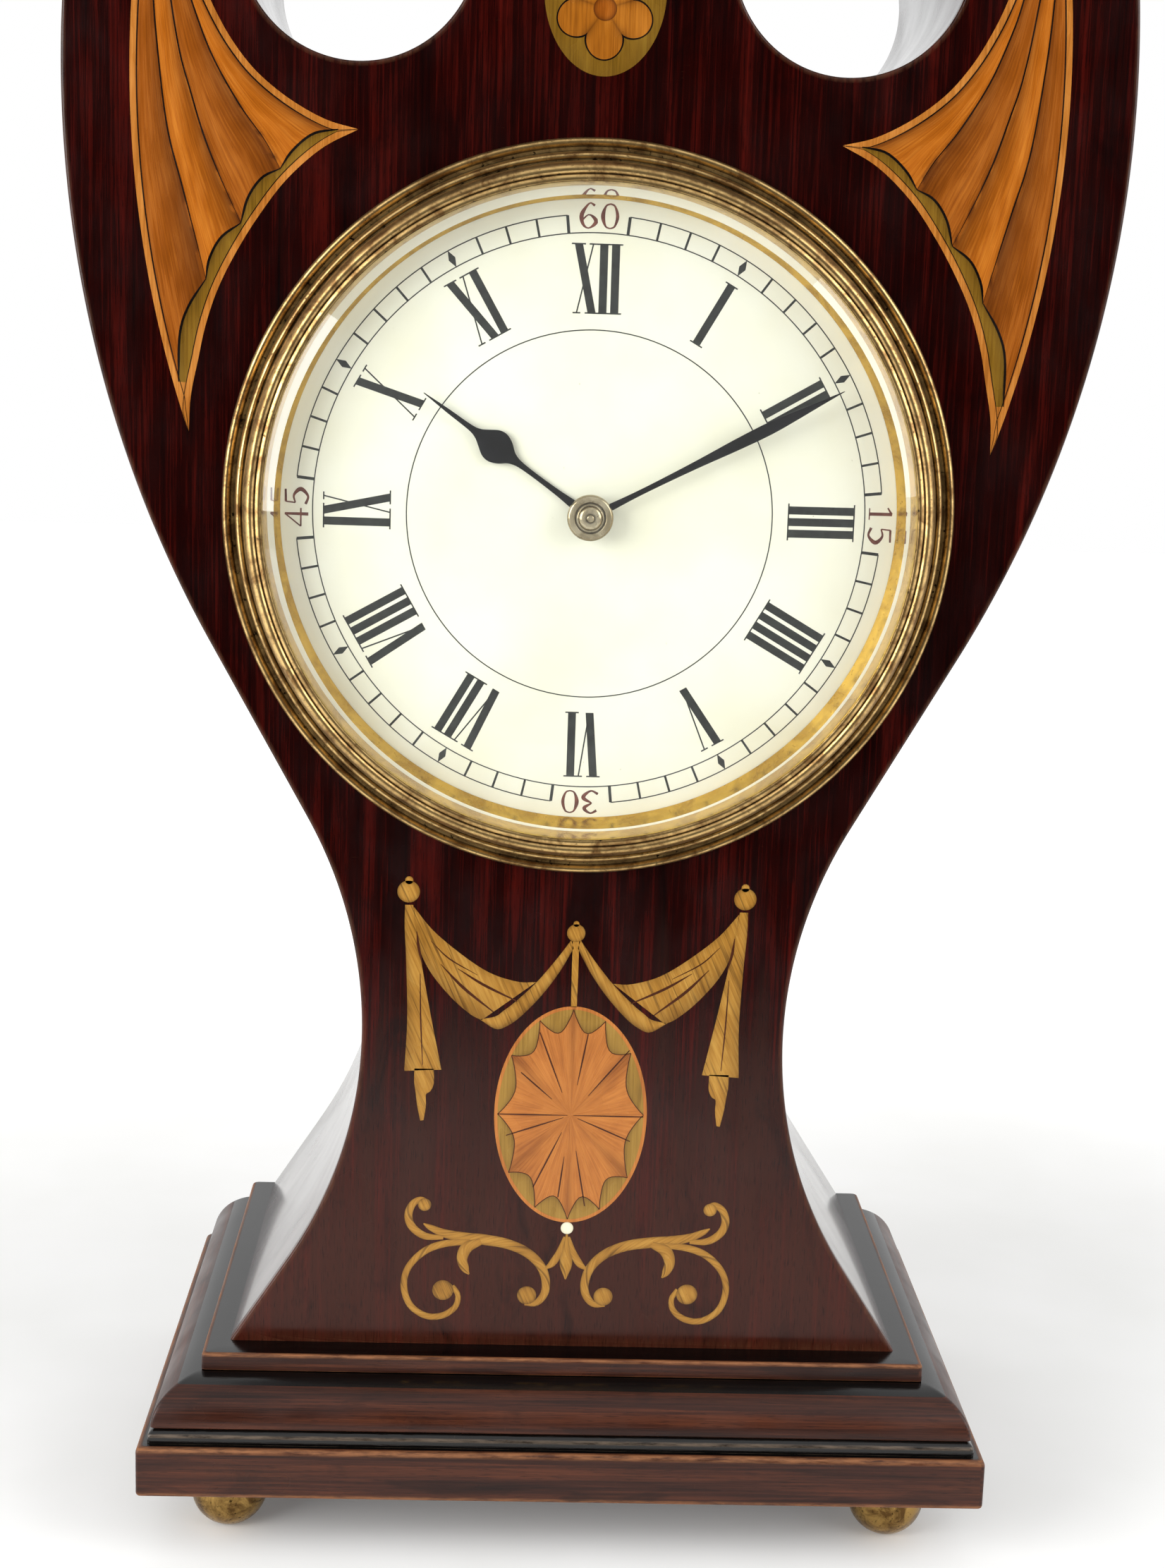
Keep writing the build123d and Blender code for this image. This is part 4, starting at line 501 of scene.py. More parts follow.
@dataclass(frozen=True)
class TablePaint(Finish):
    """White painted table: matt, with a painted glow that lifts it to white away from the clock to run into
    the backdrop.
    """
    pale: str = "#f6f6f5"
    shade: str = "#f0f0ee"
    tooth: float = 40.0             # width of the paint's faint patches
    lift: Pair = (0.08, 0.55)       # painted glow at the clock and far from it
    reach: Pair = (110.0, 420.0)    # distances from the clock's middle where the lift starts and is full

    def surface(self, tree: Tree) -> Socket:
        """Faint tooth of the paint, with a painted glow for what is seen, mirrored or seen through glass.

        Args:
            tree: node tree.

        Returns:
            Shader output.
        """
        place = millimetres(tree, Coords.LEVEL)
        tooth = mottle(tree, place, (self.tooth,) * 3)
        colour = add_node(tree, "ValToRGB", {0: tooth}, between(
            0.3, linear(self.shade), 0.7, linear(self.pale)))
        seen = 0.0
        for ray in ("Is Camera Ray", "Is Glossy Ray", "Is Transmission Ray"):
            here = add_node(tree, "LightPath", out=ray)
            seen = add_node(tree, "Math", {0: here, 1: seen}, operation="MAXIMUM")
        away = add_node(tree, "VectorMath", {0: place}, operation="LENGTH", out="Value")
        lift = add_node(tree, "MapRange", {
            "Value": away, "From Min": self.reach[0], "From Max": self.reach[1], "To Min": self.lift[0],
            "To Max": self.lift[1]}, interpolation_type="SMOOTHSTEP")
        # painted glow, weakest near the clock so the shadow there stays dark
        glow = add_node(tree, "Math", {0: seen, 1: lift}, operation="MULTIPLY")
        return add_node(tree, "BsdfPrincipled", {
            "Base Color": colour, "Roughness": 0.6, "Specular IOR Level": 0.1, "Emission Color": grey(1.0),
            "Emission Strength": glow})


# Polished mahogany reads as near-black red with vertical streaks; near its foot it turns browner.
VENEER = PolishedWood("mahogany_veneer_french_polished", mid="#1e0201", light="#430a05", specular=0.24,
                      fade=(88.0, 42.0))
# The bent side veneer is thinly worn and mirrors the white room at a glance.
SIDE_VENEER = PolishedWood(
    "mahogany_side_veneer_french_polished", mid="#240604", light="#3f100a", specular=0.42, coat=0.75)
# The plinth is browner, with level grain, paler rubbed arrises and dark stains.
PLINTH_WOOD = PolishedWood(
    "mahogany_plinth_worn_polish", dark="#1a0905", mid="#381b11", light="#552c1a", worn="#8a5a38",
    streak=0.45, length=22.0, figure=(50.0, 2.2), gloss=0.3, scratch=0.2, stain=0.6)
# Black ledges are glossy and specked with dust; they mirror whatever stands behind them, and their black is
# partly stain, partly painted reflection of the dark case front.
EBONY_AND_PAINTED_REFLECTION = PolishedWood(
    "pearwood_ebonised_and_painted_reflection", dark="#020202", mid="#060505", light="#0d0b09", worn="#5a4c3e", gloss=0.16,
    specular=0.5, scratch=0.3)
# The carcase shows only inside the back: plain, oiled and matt.
CORE_WOOD = PolishedWood(
    "mahogany_carcase_oiled", dark="#24110a", mid="#3f2114", light="#5b3320", gloss=0.5,
    coords=Coords.UPRIGHT)
# Satinwood glows orange-brown; neighbouring rays differ a little in depth.
SATINWOOD = InlayWood("satinwood_sand_shaded")
SATINWOOD_DEEP = InlayWood("satinwood_sand_shaded_deep", light="#ae641a", mid="#8f4a0b", dark="#6f3706")
# Boxwood borders are a shade paler than the rays.
BOXWOOD = InlayWood("boxwood_border", light="#c5823a", mid="#ad6a26", dark="#8a5019", sand="#4a2308")
# Stained sycamore has gone from green to olive brown.
GREEN_WOOD = InlayWood(
    "sycamore_stained_green", light="#8a681d", mid="#775514", dark="#59400d", sand="#2a1a06")
SHELL_GREEN = InlayWood(
    "sycamore_stained_pale", light="#a37f3c", mid="#93702f", dark="#745522", sand="#4a2f10")
# Holly, warmed by polish, is sand shaded along each wedge.
SHELL_WOOD = InlayWood(
    "holly_sand_shaded_warm", light="#c27c3b", mid="#b06b30", dark="#935525", sand="#4c1f0a", vein=0.1,
    knot=0.15)
# Boxwood drapery is golden, with dark veins that lean across it.
SWAG_WOOD = InlayWood(
    "boxwood_drapery_golden", light="#bf9142", mid="#a5752d", dark="#80571e", sand="#3c230a", streak=0.4,
    length=6.0, vein=0.55, lean=24.0)
# The flower's petals are satinwood gone amber.
AMBER_WOOD = InlayWood("satinwood_amber_petals", light="#b5701f", mid="#9a5a12", dark="#7a430c")
# Black stringing and the red ground that shows through the slits.
BLACK_LINE = InlayWood(
    "pearwood_black_stringing", light="#150d08", mid="#0d0806", dark="#060403", sand="#030201")
BROWN_LINE = InlayWood(
    "mahogany_ground_in_slits", light="#5a2a12", mid="#46200d", dark="#331608", sand="#1c0b04")
# The pearl is turned bone: ivory white with fine fibres.
BONE = InlayWood(
    "bone_pearl_dot", light="#f4efdc", mid="#ece4c6", dark="#d8cda8", sand="#8f8468", vein=0.0, knot=0.1)
# Lacquered brass has tarnished brown in clouds, with bright rubs and black grooves.
BRASS = AgedMetal("brass_turned_aged", bright="#d2b074", dull="#80603a", gloss=0.3, speck=0.6, cloud=4.0)
# The back is spun and buffed: larger, fainter clouds.
BACK_BRASS = AgedMetal("brass_spun_back_buffed", bright="#b3935a", dull="#93733f", gloss=0.34, speck=0.3,
                       cloud=16.0)
# The ball feet are cast and handled: browner, with small clouds.
FOOT_BRASS = AgedMetal("brass_cast_ball_worn", bright="#a3824a", dull="#5f4526", cloud=3.0)
# Gilding and the movement's grained brass have stayed bright under the glass and inside the drum.
GILT = AgedMetal("brass_spun_gilt", bright="#d8b04a", dull="#b58d34", dark_marks="#6a4a14", gloss=0.2, speck=0.3)
MOVEMENT_BRASS = AgedMetal("brass_grained_movement", bright="#c9a45c", dull="#a9833f", gloss=0.3, speck=0.2)
# Polished steel and nickel give the only cool greys.
STEEL = AgedMetal("steel_polished_movement", bright="#a8a8a6", dull="#7e7d7a", dark_marks="#2b2622", speck=0.3)
NICKEL = AgedMetal("nickel_plated_brass_nut", bright="#b3a890", dull="#8f8268", dark_marks="#2a241b", gloss=0.18,
                   speck=0.4, cloud=3.0)
# Fire blueing has gone nearly black.
BLUED = AgedMetal(
    "steel_fire_blued_dark", bright="#17171c", dull="#0b0b0d", dark_marks="#050505", gloss=0.3, speck=0.3)
# The dial is milky cream, with its paint fired in black and in a red gone brown.
ENAMEL = FiredEnamel("enamel_fired_cream")
BLACK_INK = FiredInk("enamel_paint_black")
RED_INK = FiredInk("enamel_paint_red_brown", full="#55221a", thin="#7c4436")
# The glass shows by its bevel, which doubles the dial's rim.
GLASS = ClearGlass("crown_glass_bevelled")
# The table is white, has a painted glow that grows away from the clock, and keeps the shadow.
TABLE = TablePaint("table_white_paint")


def even(line: Curve, count: int) -> Curve:
    """Resample a line to even steps: each column is interpolated over the running length of the first two.

    Args:
        line: points, with any further columns carried along.
        count: number of points wanted.

    Returns:
        The resampled line.
    """
    steps = np.hypot(*np.diff(line[:, :2], axis=0).T)
    run = np.concatenate([[0.0], np.cumsum(steps)])
    at = np.linspace(0.0, run[-1], count)
    return np.stack([np.interp(at, run, column) for column in line.T], axis=1)


def spline(points: Sequence[Sequence[float]], count: int) -> Curve:
    """Smooth line through points: a cubic between each two that leaves along the chord of its neighbours.

    Args:
        points: two or more points, with any further columns carried along.
        count: number of points wanted.

    Returns:
        Evenly spaced points of the line.
    """
    p = np.asarray(points, float)
    padded = np.vstack([2 * p[0] - p[1], p, 2 * p[-1] - p[-2]])
    t = np.linspace(0.0, 1.0, SPLINE_STEPS, endpoint=False)[None, :, None]
    a, b, c, d = (padded[i:len(p) - 1 + i, None, :] for i in range(4))
    cubic = 0.5 * (2 * b + (c - a) * t + (2 * a - 5 * b + 4 * c - d) * t ** 2
                   + (3 * b - a - 3 * c + d) * t ** 3)
    return even(np.vstack([cubic.reshape(-1, p.shape[1]), p[-1]]), count)


def arc(centre: Pair, radius: float, first: float, last: float, count: int) -> Curve:
    """Points of a circular arc between two angles in radians, counter-clockwise from the right.

    Args:
        centre: middle of the circle.
        radius: its radius.
        first: angle of the first point.
        last: angle of the last point.
        count: number of points.

    Returns:
        The arc's points.
    """
    turn = np.linspace(first, last, count)
    return np.stack([centre[0] + radius * np.cos(turn), centre[1] + radius * np.sin(turn)], axis=1)


def normals(line: Curve) -> Curve:
    """Unit normals to the left of a line: each step turned a quarter round.

    Args:
        line: points.

    Returns:
        A normal for each point.
    """
    step = np.gradient(line[:, :2], axis=0)
    length = np.maximum(np.hypot(step[:, 0], step[:, 1]), 1e-9)
    return np.stack([-step[:, 1], step[:, 0]], axis=1) / length[:, None]


def band(points: Sequence[Triple], count: int) -> tuple[Curve, Curve]:
    """Edges of a band: its middle line plus and minus a half width that varies along it.

    Args:
        points: x, z and half width along the middle line.
        count: points along each edge.

    Returns:
        Left and right edges.
    """
    line = spline(points, count)
    aside = normals(line) * line[:, 2:3]
    return line[:, :2] + aside, line[:, :2] - aside


def ruled(first: Curve, second: Curve, rows: int = 2) -> np.ndarray:
    """Grid between two lines: straight rulings from each point of one to the same point of the other.

    Args:
        first: first line.
        second: second line with as many points.
        rows: number of lines in the grid.

    Returns:
        Grid of shape rows by points by two.
    """
    share = np.linspace(0.0, 1.0, rows)[:, None, None]
    return first[None] * (1 - share) + second[None] * share


def wedge(left: Curve, right: Curve, foot: Curve) -> np.ndarray:
    """Grid between two sides and a bowed foot: rulings from side to side, bowed more towards the foot.

    Args:
        left: left side, from the top down.
        right: right side, from the top down.
        foot: line from the left side's end to the right side's end.

    Returns:
        Grid of shape side points by foot points by two.
    """
    across = np.linspace(0.0, 1.0, len(foot))[None, :, None]
    down = np.linspace(0.0, 1.0, len(left))[:, None, None]
    side = left[:, None] * (1 - across) + right[:, None] * across
    bow = foot[None] - (left[-1] * (1 - across) + right[-1] * across)
    return side + bow * down ** 3


def eased(corners: Sequence[Triple], closed: bool = False, steps: int = 5) -> tuple[Curve, np.ndarray]:
    """Line through corners, each rounded by a parabola that starts and ends its easing length away.

    Args:
        corners: two coordinates and the easing length of each corner.
        closed: whether the line returns to its first corner.
        steps: points on each rounded corner.

    Returns:
        Points of the line, and for each point how near it is to a corner's tip, 0 to 1.
    """
    rows = np.asarray(corners, float)
    p, ease = rows[:, :2], rows[:, 2].copy()
    before, after = np.roll(p, 1, axis=0), np.roll(p, -1, axis=0)
    if not closed:
        ease[0] = ease[-1] = 0.0

    def toward(target: Curve) -> Curve:
        """Point at the easing length from each corner towards a neighbour.

        Args:
            target: each corner's neighbour.

        Returns:
            A point for each corner.
        """
        way = target - p
        span = np.maximum(np.hypot(way[:, 0], way[:, 1]), 1e-9)
        return p + way * (np.minimum(ease, span * 0.48) / span)[:, None]

    t = np.linspace(0.0, 1.0, steps)[None, :, None]
    start, end = toward(before)[:, None], toward(after)[:, None]
    line = (1 - t) ** 2 * start + 2 * t * (1 - t) * p[:, None] + t ** 2 * end
    tip = np.broadcast_to(4 * t[..., 0] * (1 - t[..., 0]), line.shape[:2]) * (ease[:, None] > 0)
    keep = np.ones(line.shape[:2], bool)
    keep[ease <= 0, 1:] = False
    return line[keep], tip[keep]


def run_of(line: Curve, closed: bool = False) -> np.ndarray:
    """Running length of a line, with one more value for the way back where it is closed.

    Args:
        line: points.
        closed: whether the line returns to its first point.

    Returns:
        Length from the first point to each point.
    """
    points = np.vstack([line, line[:1]]) if closed else line
    return np.concatenate([[0.0], np.cumsum(np.linalg.norm(np.diff(points, axis=0), axis=1))])


def on_front(grid: np.ndarray, lift: float) -> np.ndarray:
    """Place a flat drawing a little ahead of the case front: x, depth, then height from the dial's middle."""
    depth = np.full(grid.shape[:-1], CASE_FRONT - lift)
    return np.stack([grid[..., 0], depth, grid[..., 1] + DIAL_Z], axis=-1)


def upright(line: Curve, depth: float) -> np.ndarray:
    """Stand a line drawn from the dial's middle at a depth."""
    return np.insert(line + [0.0, DIAL_Z], 1, depth, axis=1)


def turned(profile: Curve, count: int) -> np.ndarray:
    """Turn a profile of radius and depth about the dial's axis: x = r sin a, z = r cos a.

    Args:
        profile: radius and depth of each point.
        count: steps round the axis.

    Returns:
        Grid of profile points by steps by three.
    """
    angle = np.linspace(0.0, 2 * math.pi, count, endpoint=False)[None]
    r, y = profile[:, :1], profile[:, 1:2]
    return np.stack(np.broadcast_arrays(r * np.sin(angle), y, DIAL_Z + r * np.cos(angle)), axis=-1)


def groove_darkening(line: Curve, section: Sequence[Triple], grooves: Sequence[int], reach: float) -> np.ndarray:
    """Darkening in grooves: full at each groove's corner, and gone evenly at the reach.

    Args:
        line: points of the section, eased.
        section: the section's corners.
        grooves: numbers of the corners that are darkened.
        reach: distance where the darkening ends.

    Returns:
        Darkening of each point, 0 to 1.
    """
    dark_marks = np.zeros(len(line))
    for corner in grooves:
        far = np.hypot(*(line - np.asarray(section[corner][:2])).T)
        dark_marks = np.maximum(dark_marks, np.clip(1 - far / reach, 0.0, 1.0))
    return dark_marks


class Shell:
    """One piece's mesh, gathered from grids and flat fills."""

    def __init__(self, name: str) -> None:
        """Start an empty piece.

        Args:
            name: its name.
        """
        self.name = name
        self.points: list[np.ndarray] = []
        self.faces: list[list[int]] = []
        self.uvs: list[np.ndarray] = []
        self.tones: list[np.ndarray] = []
        self.places: list[np.ndarray] = []
        self.finishes: list[Finish] = []
        self.count = 0

    def finish_index(self, finish: Finish) -> int:
        """Number of a finish on this piece, added when new.

        Args:
            finish: the finish.

        Returns:
            Its number.
        """
        if finish not in self.finishes:
            self.finishes.append(finish)
        return self.finishes.index(finish)

    def add(self, points: np.ndarray, faces: np.ndarray, uv: np.ndarray, tone: np.ndarray,
            finish: Finish, facing: Optional[Triple]) -> None:
        """Add points and faces, turned to face a given way.

        Args:
            points: new points in millimetres.
            faces: corner numbers within the new points.
            uv: grain place of each face's corners.
            tone: tone of each point.
            finish: the faces' finish.
            facing: direction that the faces look in, or nothing.
        """
        if facing is not None:
            edge = points[faces[:, 1]] - points[faces[:, 0]]
            other = points[faces[:, -1]] - points[faces[:, 0]]
            if np.cross(edge, other).sum(axis=0) @ np.asarray(facing) < 0:
                faces, uv = faces[:, ::-1], uv[:, ::-1]
        self.points.append(points)
        self.faces.extend((faces + self.count).tolist())
        self.uvs.append(uv.reshape(-1, 2))
        self.tones.append(np.broadcast_to(tone, len(points)).astype(float))
        self.places.append(np.full(len(faces), self.finish_index(finish)))
        self.count += len(points)

    def grid(self, points: np.ndarray, finish: Finish, along: Optional[np.ndarray] = None,
             across: Optional[np.ndarray] = None, tone: Tone = 0.0, close_rows: bool = False,
             close_columns: bool = False, facing: Optional[Triple] = None) -> None:
        """Add a grid of four-sided faces.

        Args:
            points: rows by columns by three, in millimetres.
            finish: its finish.
            along: grain length of each column, one more than columns where they close.
            across: grain breadth of each row, one more than rows where they close.
            tone: tone of each point, or one for all.
            close_rows: whether the last row joins the first.
            close_columns: whether the last column joins the first.
            facing: direction that an open sheet looks in.
        """
        rows, columns = points.shape[:2]
        i, j = np.meshgrid(np.arange(rows - (not close_rows)), np.arange(columns - (not close_columns)),
                           indexing="ij")
        corners = [(i, j), (i, j + 1), (i + 1, j + 1), (i + 1, j)]
        faces = np.stack([(a % rows) * columns + b % columns for a, b in corners], axis=-1).reshape(-1, 4)
        if along is None:
            flat = points.reshape(-1, 3)
            uv = np.stack([flat[:, 2], flat[:, 0]], axis=1)[faces]
        else:
            uv = np.stack([np.stack([along[b], across[a]], axis=-1) for a, b in corners], axis=2)
            uv = uv.reshape(-1, 4, 2)
        self.add(points.reshape(-1, 3), faces, uv, np.broadcast_to(tone, (rows, columns)).reshape(-1),
                 finish, facing)

    def fill(self, loops: Sequence[np.ndarray], finish: Finish, facing: Triple, level: bool = False) -> None:
        """Fill flat loops with triangles, the first loop the rim and the rest holes.

        Args:
            loops: closed lines of three-dimensional points in millimetres.
            finish: its finish.
            facing: direction that the fill looks in.
            level: whether the grain runs from side to side.
        """
        points = np.vstack(loops)
        triangles = np.asarray(tessellate_polygon([[Vector(p) for p in loop] for loop in loops]))
        grain = points[:, [0, 1]] if level else points[:, [2, 0]]
        self.add(points, triangles, grain[triangles], np.zeros(len(points)), finish, facing)

    def flat(self, grid: np.ndarray, lift: float, finish: Finish, tone: Tone = 0.0,
             along: Optional[np.ndarray] = None, across: Optional[np.ndarray] = None) -> None:
        """Add a sheet of inlay a little ahead of the case front."""
        self.grid(on_front(grid, lift), finish, along, across, tone, facing=FRONT)

    def line(self, points: Sequence[Triple], lift: float, finish: Finish, count: int = 40, rows: int = 2,
             tone: Tone = 0.0) -> None:
        """Add a band of inlay along a smooth line.

        Args:
            points: x, z and half width along its middle.
            lift: how far it lies ahead of the case front.
            finish: its finish.
            count: points along it.
            rows: points across it.
            tone: tone of each point, or one for all.
        """
        left, right = band(points, count)
        grid = ruled(left, right, rows)
        breadth = np.linspace(0.0, 2 * max(p[2] for p in points), rows)
        self.flat(grid, lift, finish, tone, run_of((left + right) / 2), breadth)

    def disc(self, centre: Pair, radius: float, lift: float, finish: Finish, rim: float = 0.0) -> None:
        """Add a round spot of inlay: rings of shrinking radius, darker at the rim.

        Args:
            centre: its middle.
            radius: its radius.
            lift: how far it lies ahead of the case front.
            finish: its finish.
            rim: tone at its rim.
        """
        share = np.linspace(PINHOLE, 1.0, DISC_RINGS)
        turn = np.linspace(0.0, 2 * math.pi, DISC_POINTS)
        ring = np.stack([np.cos(turn), np.sin(turn)], axis=-1)
        grid = np.asarray(centre) + share[:, None, None] * radius * ring[None]
        self.flat(grid, lift, finish, rim * share[:, None] ** 4 * np.ones(len(turn)))

    def build(self, body: str, slot: Slot, replaces: Sequence[str] = (), closed: bool = True,
              sharp: float = SHARP) -> bpy.types.Object:
        """Make the object, merge its seams, turn closed shells outwards and hang it on its body.

        Args:
            body: body that the piece rides on.
            slot: the record's material slot; not used.
            replaces: nodes that it stands for.
            closed: whether its faces are turned outwards together.
            sharp: angle above which an edge stays sharp.

        Returns:
            The new object.
        """
        mesh = bpy.data.meshes.new(self.name)
        mesh.from_pydata((np.vstack(self.points) * MM).tolist(), [], self.faces)
        for finish in self.finishes:
            mesh.materials.append(finish.material())
        mesh.polygons.foreach_set("material_index", np.concatenate(self.places).astype(np.int32))
        layer = mesh.uv_layers.new(name=GRAIN_UV)
        layer.data.foreach_set("uv", np.vstack(self.uvs).astype(np.float32).ravel())
        tones = mesh.attributes.new(TONE, "FLOAT", "POINT")
        tones.data.foreach_set("value", np.concatenate(self.tones).astype(np.float32))
        work = bmesh.new()
        work.from_mesh(mesh)
        bmesh.ops.remove_doubles(work, verts=work.verts, dist=MERGE)
        bmesh.ops.dissolve_degenerate(work, edges=work.edges, dist=MERGE)
        if closed:
            bmesh.ops.recalc_face_normals(work, faces=work.faces)
        work.to_mesh(mesh)
        work.free()
        mesh.shade_smooth()
        mesh.set_sharp_from_angle(angle=sharp)
        piece = bpy.data.objects.new(self.name, mesh)
        bpy.context.scene.collection.objects.link(piece)
        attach(piece, body)
        if replaces:
            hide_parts(*replaces)
        LOG.info("%s: %d faces on %s", self.name, len(mesh.polygons), body)
        return piece


@dataclass
class CaseOutline:
    """Balloon outline of the case, in millimetres from the dial's middle."""
    belly_half: float = 74.1
    belly_up: float = 58.5
    belly_radius: float = 160.0
    waist_half: float = 31.3
    waist_down: float = 77.0
    waist_radius: float = 66.0
    flare: float = math.radians(33.0)
    foot_down: float = 126.2
    shoulder_radius: float = 38.0
    crown_up: float = 125.0
    crown_radius: float = 120.0

    def shoulder(self, belly: np.ndarray, crown: np.ndarray) -> np.ndarray:
        """Middle of the shoulder arc, which lies inside both the belly's and the crown's circles.

        Args:
            belly: middle of the belly's circle.
            crown: middle of the crown's circle.

        Returns:
            The meeting point of the two circles that the arc's middle can lie on.
        """
        to_belly = self.belly_radius - self.shoulder_radius
        to_crown = self.crown_radius - self.shoulder_radius
        way = belly - crown
        span = np.hypot(*way)
        along = (span ** 2 + to_crown ** 2 - to_belly ** 2) / (2 * span)
        aside = math.sqrt(to_crown ** 2 - along ** 2)
        unit = way / span
        return crown + unit * along + np.array([unit[1], -unit[0]]) * aside

    def side(self, inset: float) -> Curve:
        """Right side from the foot to the crown: flare, waist arc, flank, belly, shoulder and crown arcs.

        Args:
            inset: distance that the line is drawn in.

        Returns:
            Points of the right side.
        """
        belly = np.array([self.belly_half - self.belly_radius, self.belly_up])
        waist = np.array([self.waist_half + self.waist_radius, -self.waist_down])
        crown = np.array([0.0, self.crown_up - self.crown_radius])
        shoulder = self.shoulder(belly, crown)
        belly_r, waist_r = self.belly_radius - inset, self.waist_radius + inset
        span = np.hypot(*(waist - belly))
        lean = math.atan2(*(waist - belly)[::-1]) + math.acos((belly_r + waist_r) / span)
        low = waist - waist_r * np.array([math.cos(self.flare), math.sin(self.flare)])
        foot = (low[0] + (low[1] + self.foot_down) * math.tan(self.flare), -self.foot_down)
        rise = math.atan2(*(shoulder - belly)[::-1])
        over = math.atan2(*(shoulder - crown)[::-1])
        return np.vstack([
            np.linspace(foot, low, 8, endpoint=False),
            arc(tuple(waist), waist_r, math.pi + self.flare, math.pi + lean, 60),
            arc(tuple(belly), belly_r, lean, rise, 110),
            arc(tuple(shoulder), self.shoulder_radius - inset, rise, over, 40)[1:],
            arc(tuple(crown), self.crown_radius - inset, over, math.pi / 2, 60)[1:],
        ])

    def loop(self, inset: float) -> Curve:
        """Whole outline, counter-clockwise from the right foot, with a few points along the foot.

        Args:
            inset: distance that the line is drawn in.

        Returns:
            Points of the outline.
        """
        right = self.side(inset)
        left = right[-2::-1] * np.array([-1.0, 1.0])
        foot = np.linspace(left[-1], right[0], 14)[1:-1]
        return np.vstack([right, left, foot])


@dataclass
class CaseBody:
    """Front panel, side veneer and the lined piercings."""
    outline: CaseOutline = field(default_factory=CaseOutline)
    arris: float = 0.45
    veneer: float = 1.0
    bore: float = 45.5
    piercing_at: Pair = (33.7155, 77.5)
    piercing_radius: float = 16.4
    flat_margin: float = 0.35
    ring_points: int = 128
    fine_ease: float = 0.05
    back_ease: float = 0.35         # rounding and wear of the bent veneer's back arris
    back_wear: float = 0.5
    wear: Triple = (0.0625, 0.15, 0.1875)   # tone of the wall, of the arris's foot and of the arris

    def ring(self, centre: Pair, radius: float) -> Curve:
        """Closed circle as a line of points."""
        return arc(centre, radius, 0.0, 2 * math.pi, self.ring_points + 1)[:-1]

    def edge(self, shell: Shell, loop_at: Outline) -> np.ndarray:
        """Wall and rounded arris along an outline: the inset grows from 0 as the depth reaches the face.

        Args:
            shell: piece that gets the wall.
            loop_at: function of the inset that gives the outline.

        Returns:
            The flat loop where the fill starts.
        """
        turn = np.linspace(0.0, math.pi / 2, 6)
        insets = np.concatenate([[0.0], self.arris * (1 - np.cos(turn)), [self.arris + self.flat_margin]])
        depths = np.concatenate([[CORE_FRONT], CASE_FRONT + self.arris * (1 - np.sin(turn)), [CASE_FRONT]])
        grid = np.stack([upright(loop_at(inset), depth) for inset, depth in zip(insets, depths)])
        wall, foot, arris = self.wear
        worn = np.array([wall, foot] + [arris] * (len(turn) - 1) + [0.0])[:, None]
        shell.grid(grid, VENEER, tone=worn * np.ones(grid.shape[1]), close_columns=True)
        return grid[-1]

    def front_panel(self) -> None:
        """Veneered front with the dial's bore and two round piercings."""
        shell = Shell("front_panel_veneer")
        rim = self.edge(shell, self.outline.loop)
        holes = [self.edge(shell, lambda inset, c=centre, r=radius: self.ring(c, r + inset))
                 for centre, radius in self.openings()]
        shell.fill([rim] + [hole[::-1] for hole in holes], VENEER, FRONT)
        backs = [self.outline.loop(0.0)] + [self.ring(*opening)[::-1] for opening in self.openings()]
        shell.fill([upright(loop, CORE_FRONT) for loop in backs], VENEER, (0, 1, 0))
        shell.build("clock_case", Slot.MAHOGANY, ["front_panel"])

    def openings(self) -> list[tuple[Pair, float]]:
        """Middle and radius of the bore and the piercings."""
        x, z = self.piercing_at
        return [((0.0, 0.0), self.bore), ((-x, z), self.piercing_radius), ((x, z), self.piercing_radius)]

    def band_round(self, name: str, loop_at: Outline, thick: float, finish: Finish, node: str) -> None:
        """Veneer bent round an outline: a thin oblong section carried along it, with its back arris eased.

        Args:
            name: piece's name.
            loop_at: function of the inset that gives the outline.
            thick: veneer thickness.
            finish: its finish.
            node: node that it stands for.
        """
        fine = self.fine_ease
        section, tip = eased([(0.0, CORE_FRONT, fine), (0.0, CASE_BACK, self.back_ease),
                              (thick, CASE_BACK, fine), (thick, CORE_FRONT, fine)], closed=True)
        grid = np.stack([upright(loop_at(inset), depth) for inset, depth in section])
        shell = Shell(name)
        shell.grid(grid, finish, run_of(grid[0], True), run_of(section, True),
                   tip[:, None] * self.back_wear * np.ones(grid.shape[1]), close_rows=True,
                   close_columns=True)
        shell.build("clock_case", Slot.MAHOGANY, [node])

    def build(self) -> None:
        """Make the case's outside."""
        self.front_panel()
        self.band_round("side_veneer_band", self.outline.loop, self.veneer, SIDE_VENEER, "side_veneer")
        for side, (centre, radius) in zip(("left", "right"), self.openings()[1:]):
            self.band_round("piercing_lining_bent_" + side,
                            lambda inset, c=centre, r=radius: self.ring(c, r + inset),
                            self.veneer, SIDE_VENEER, "piercing_lining_" + side)


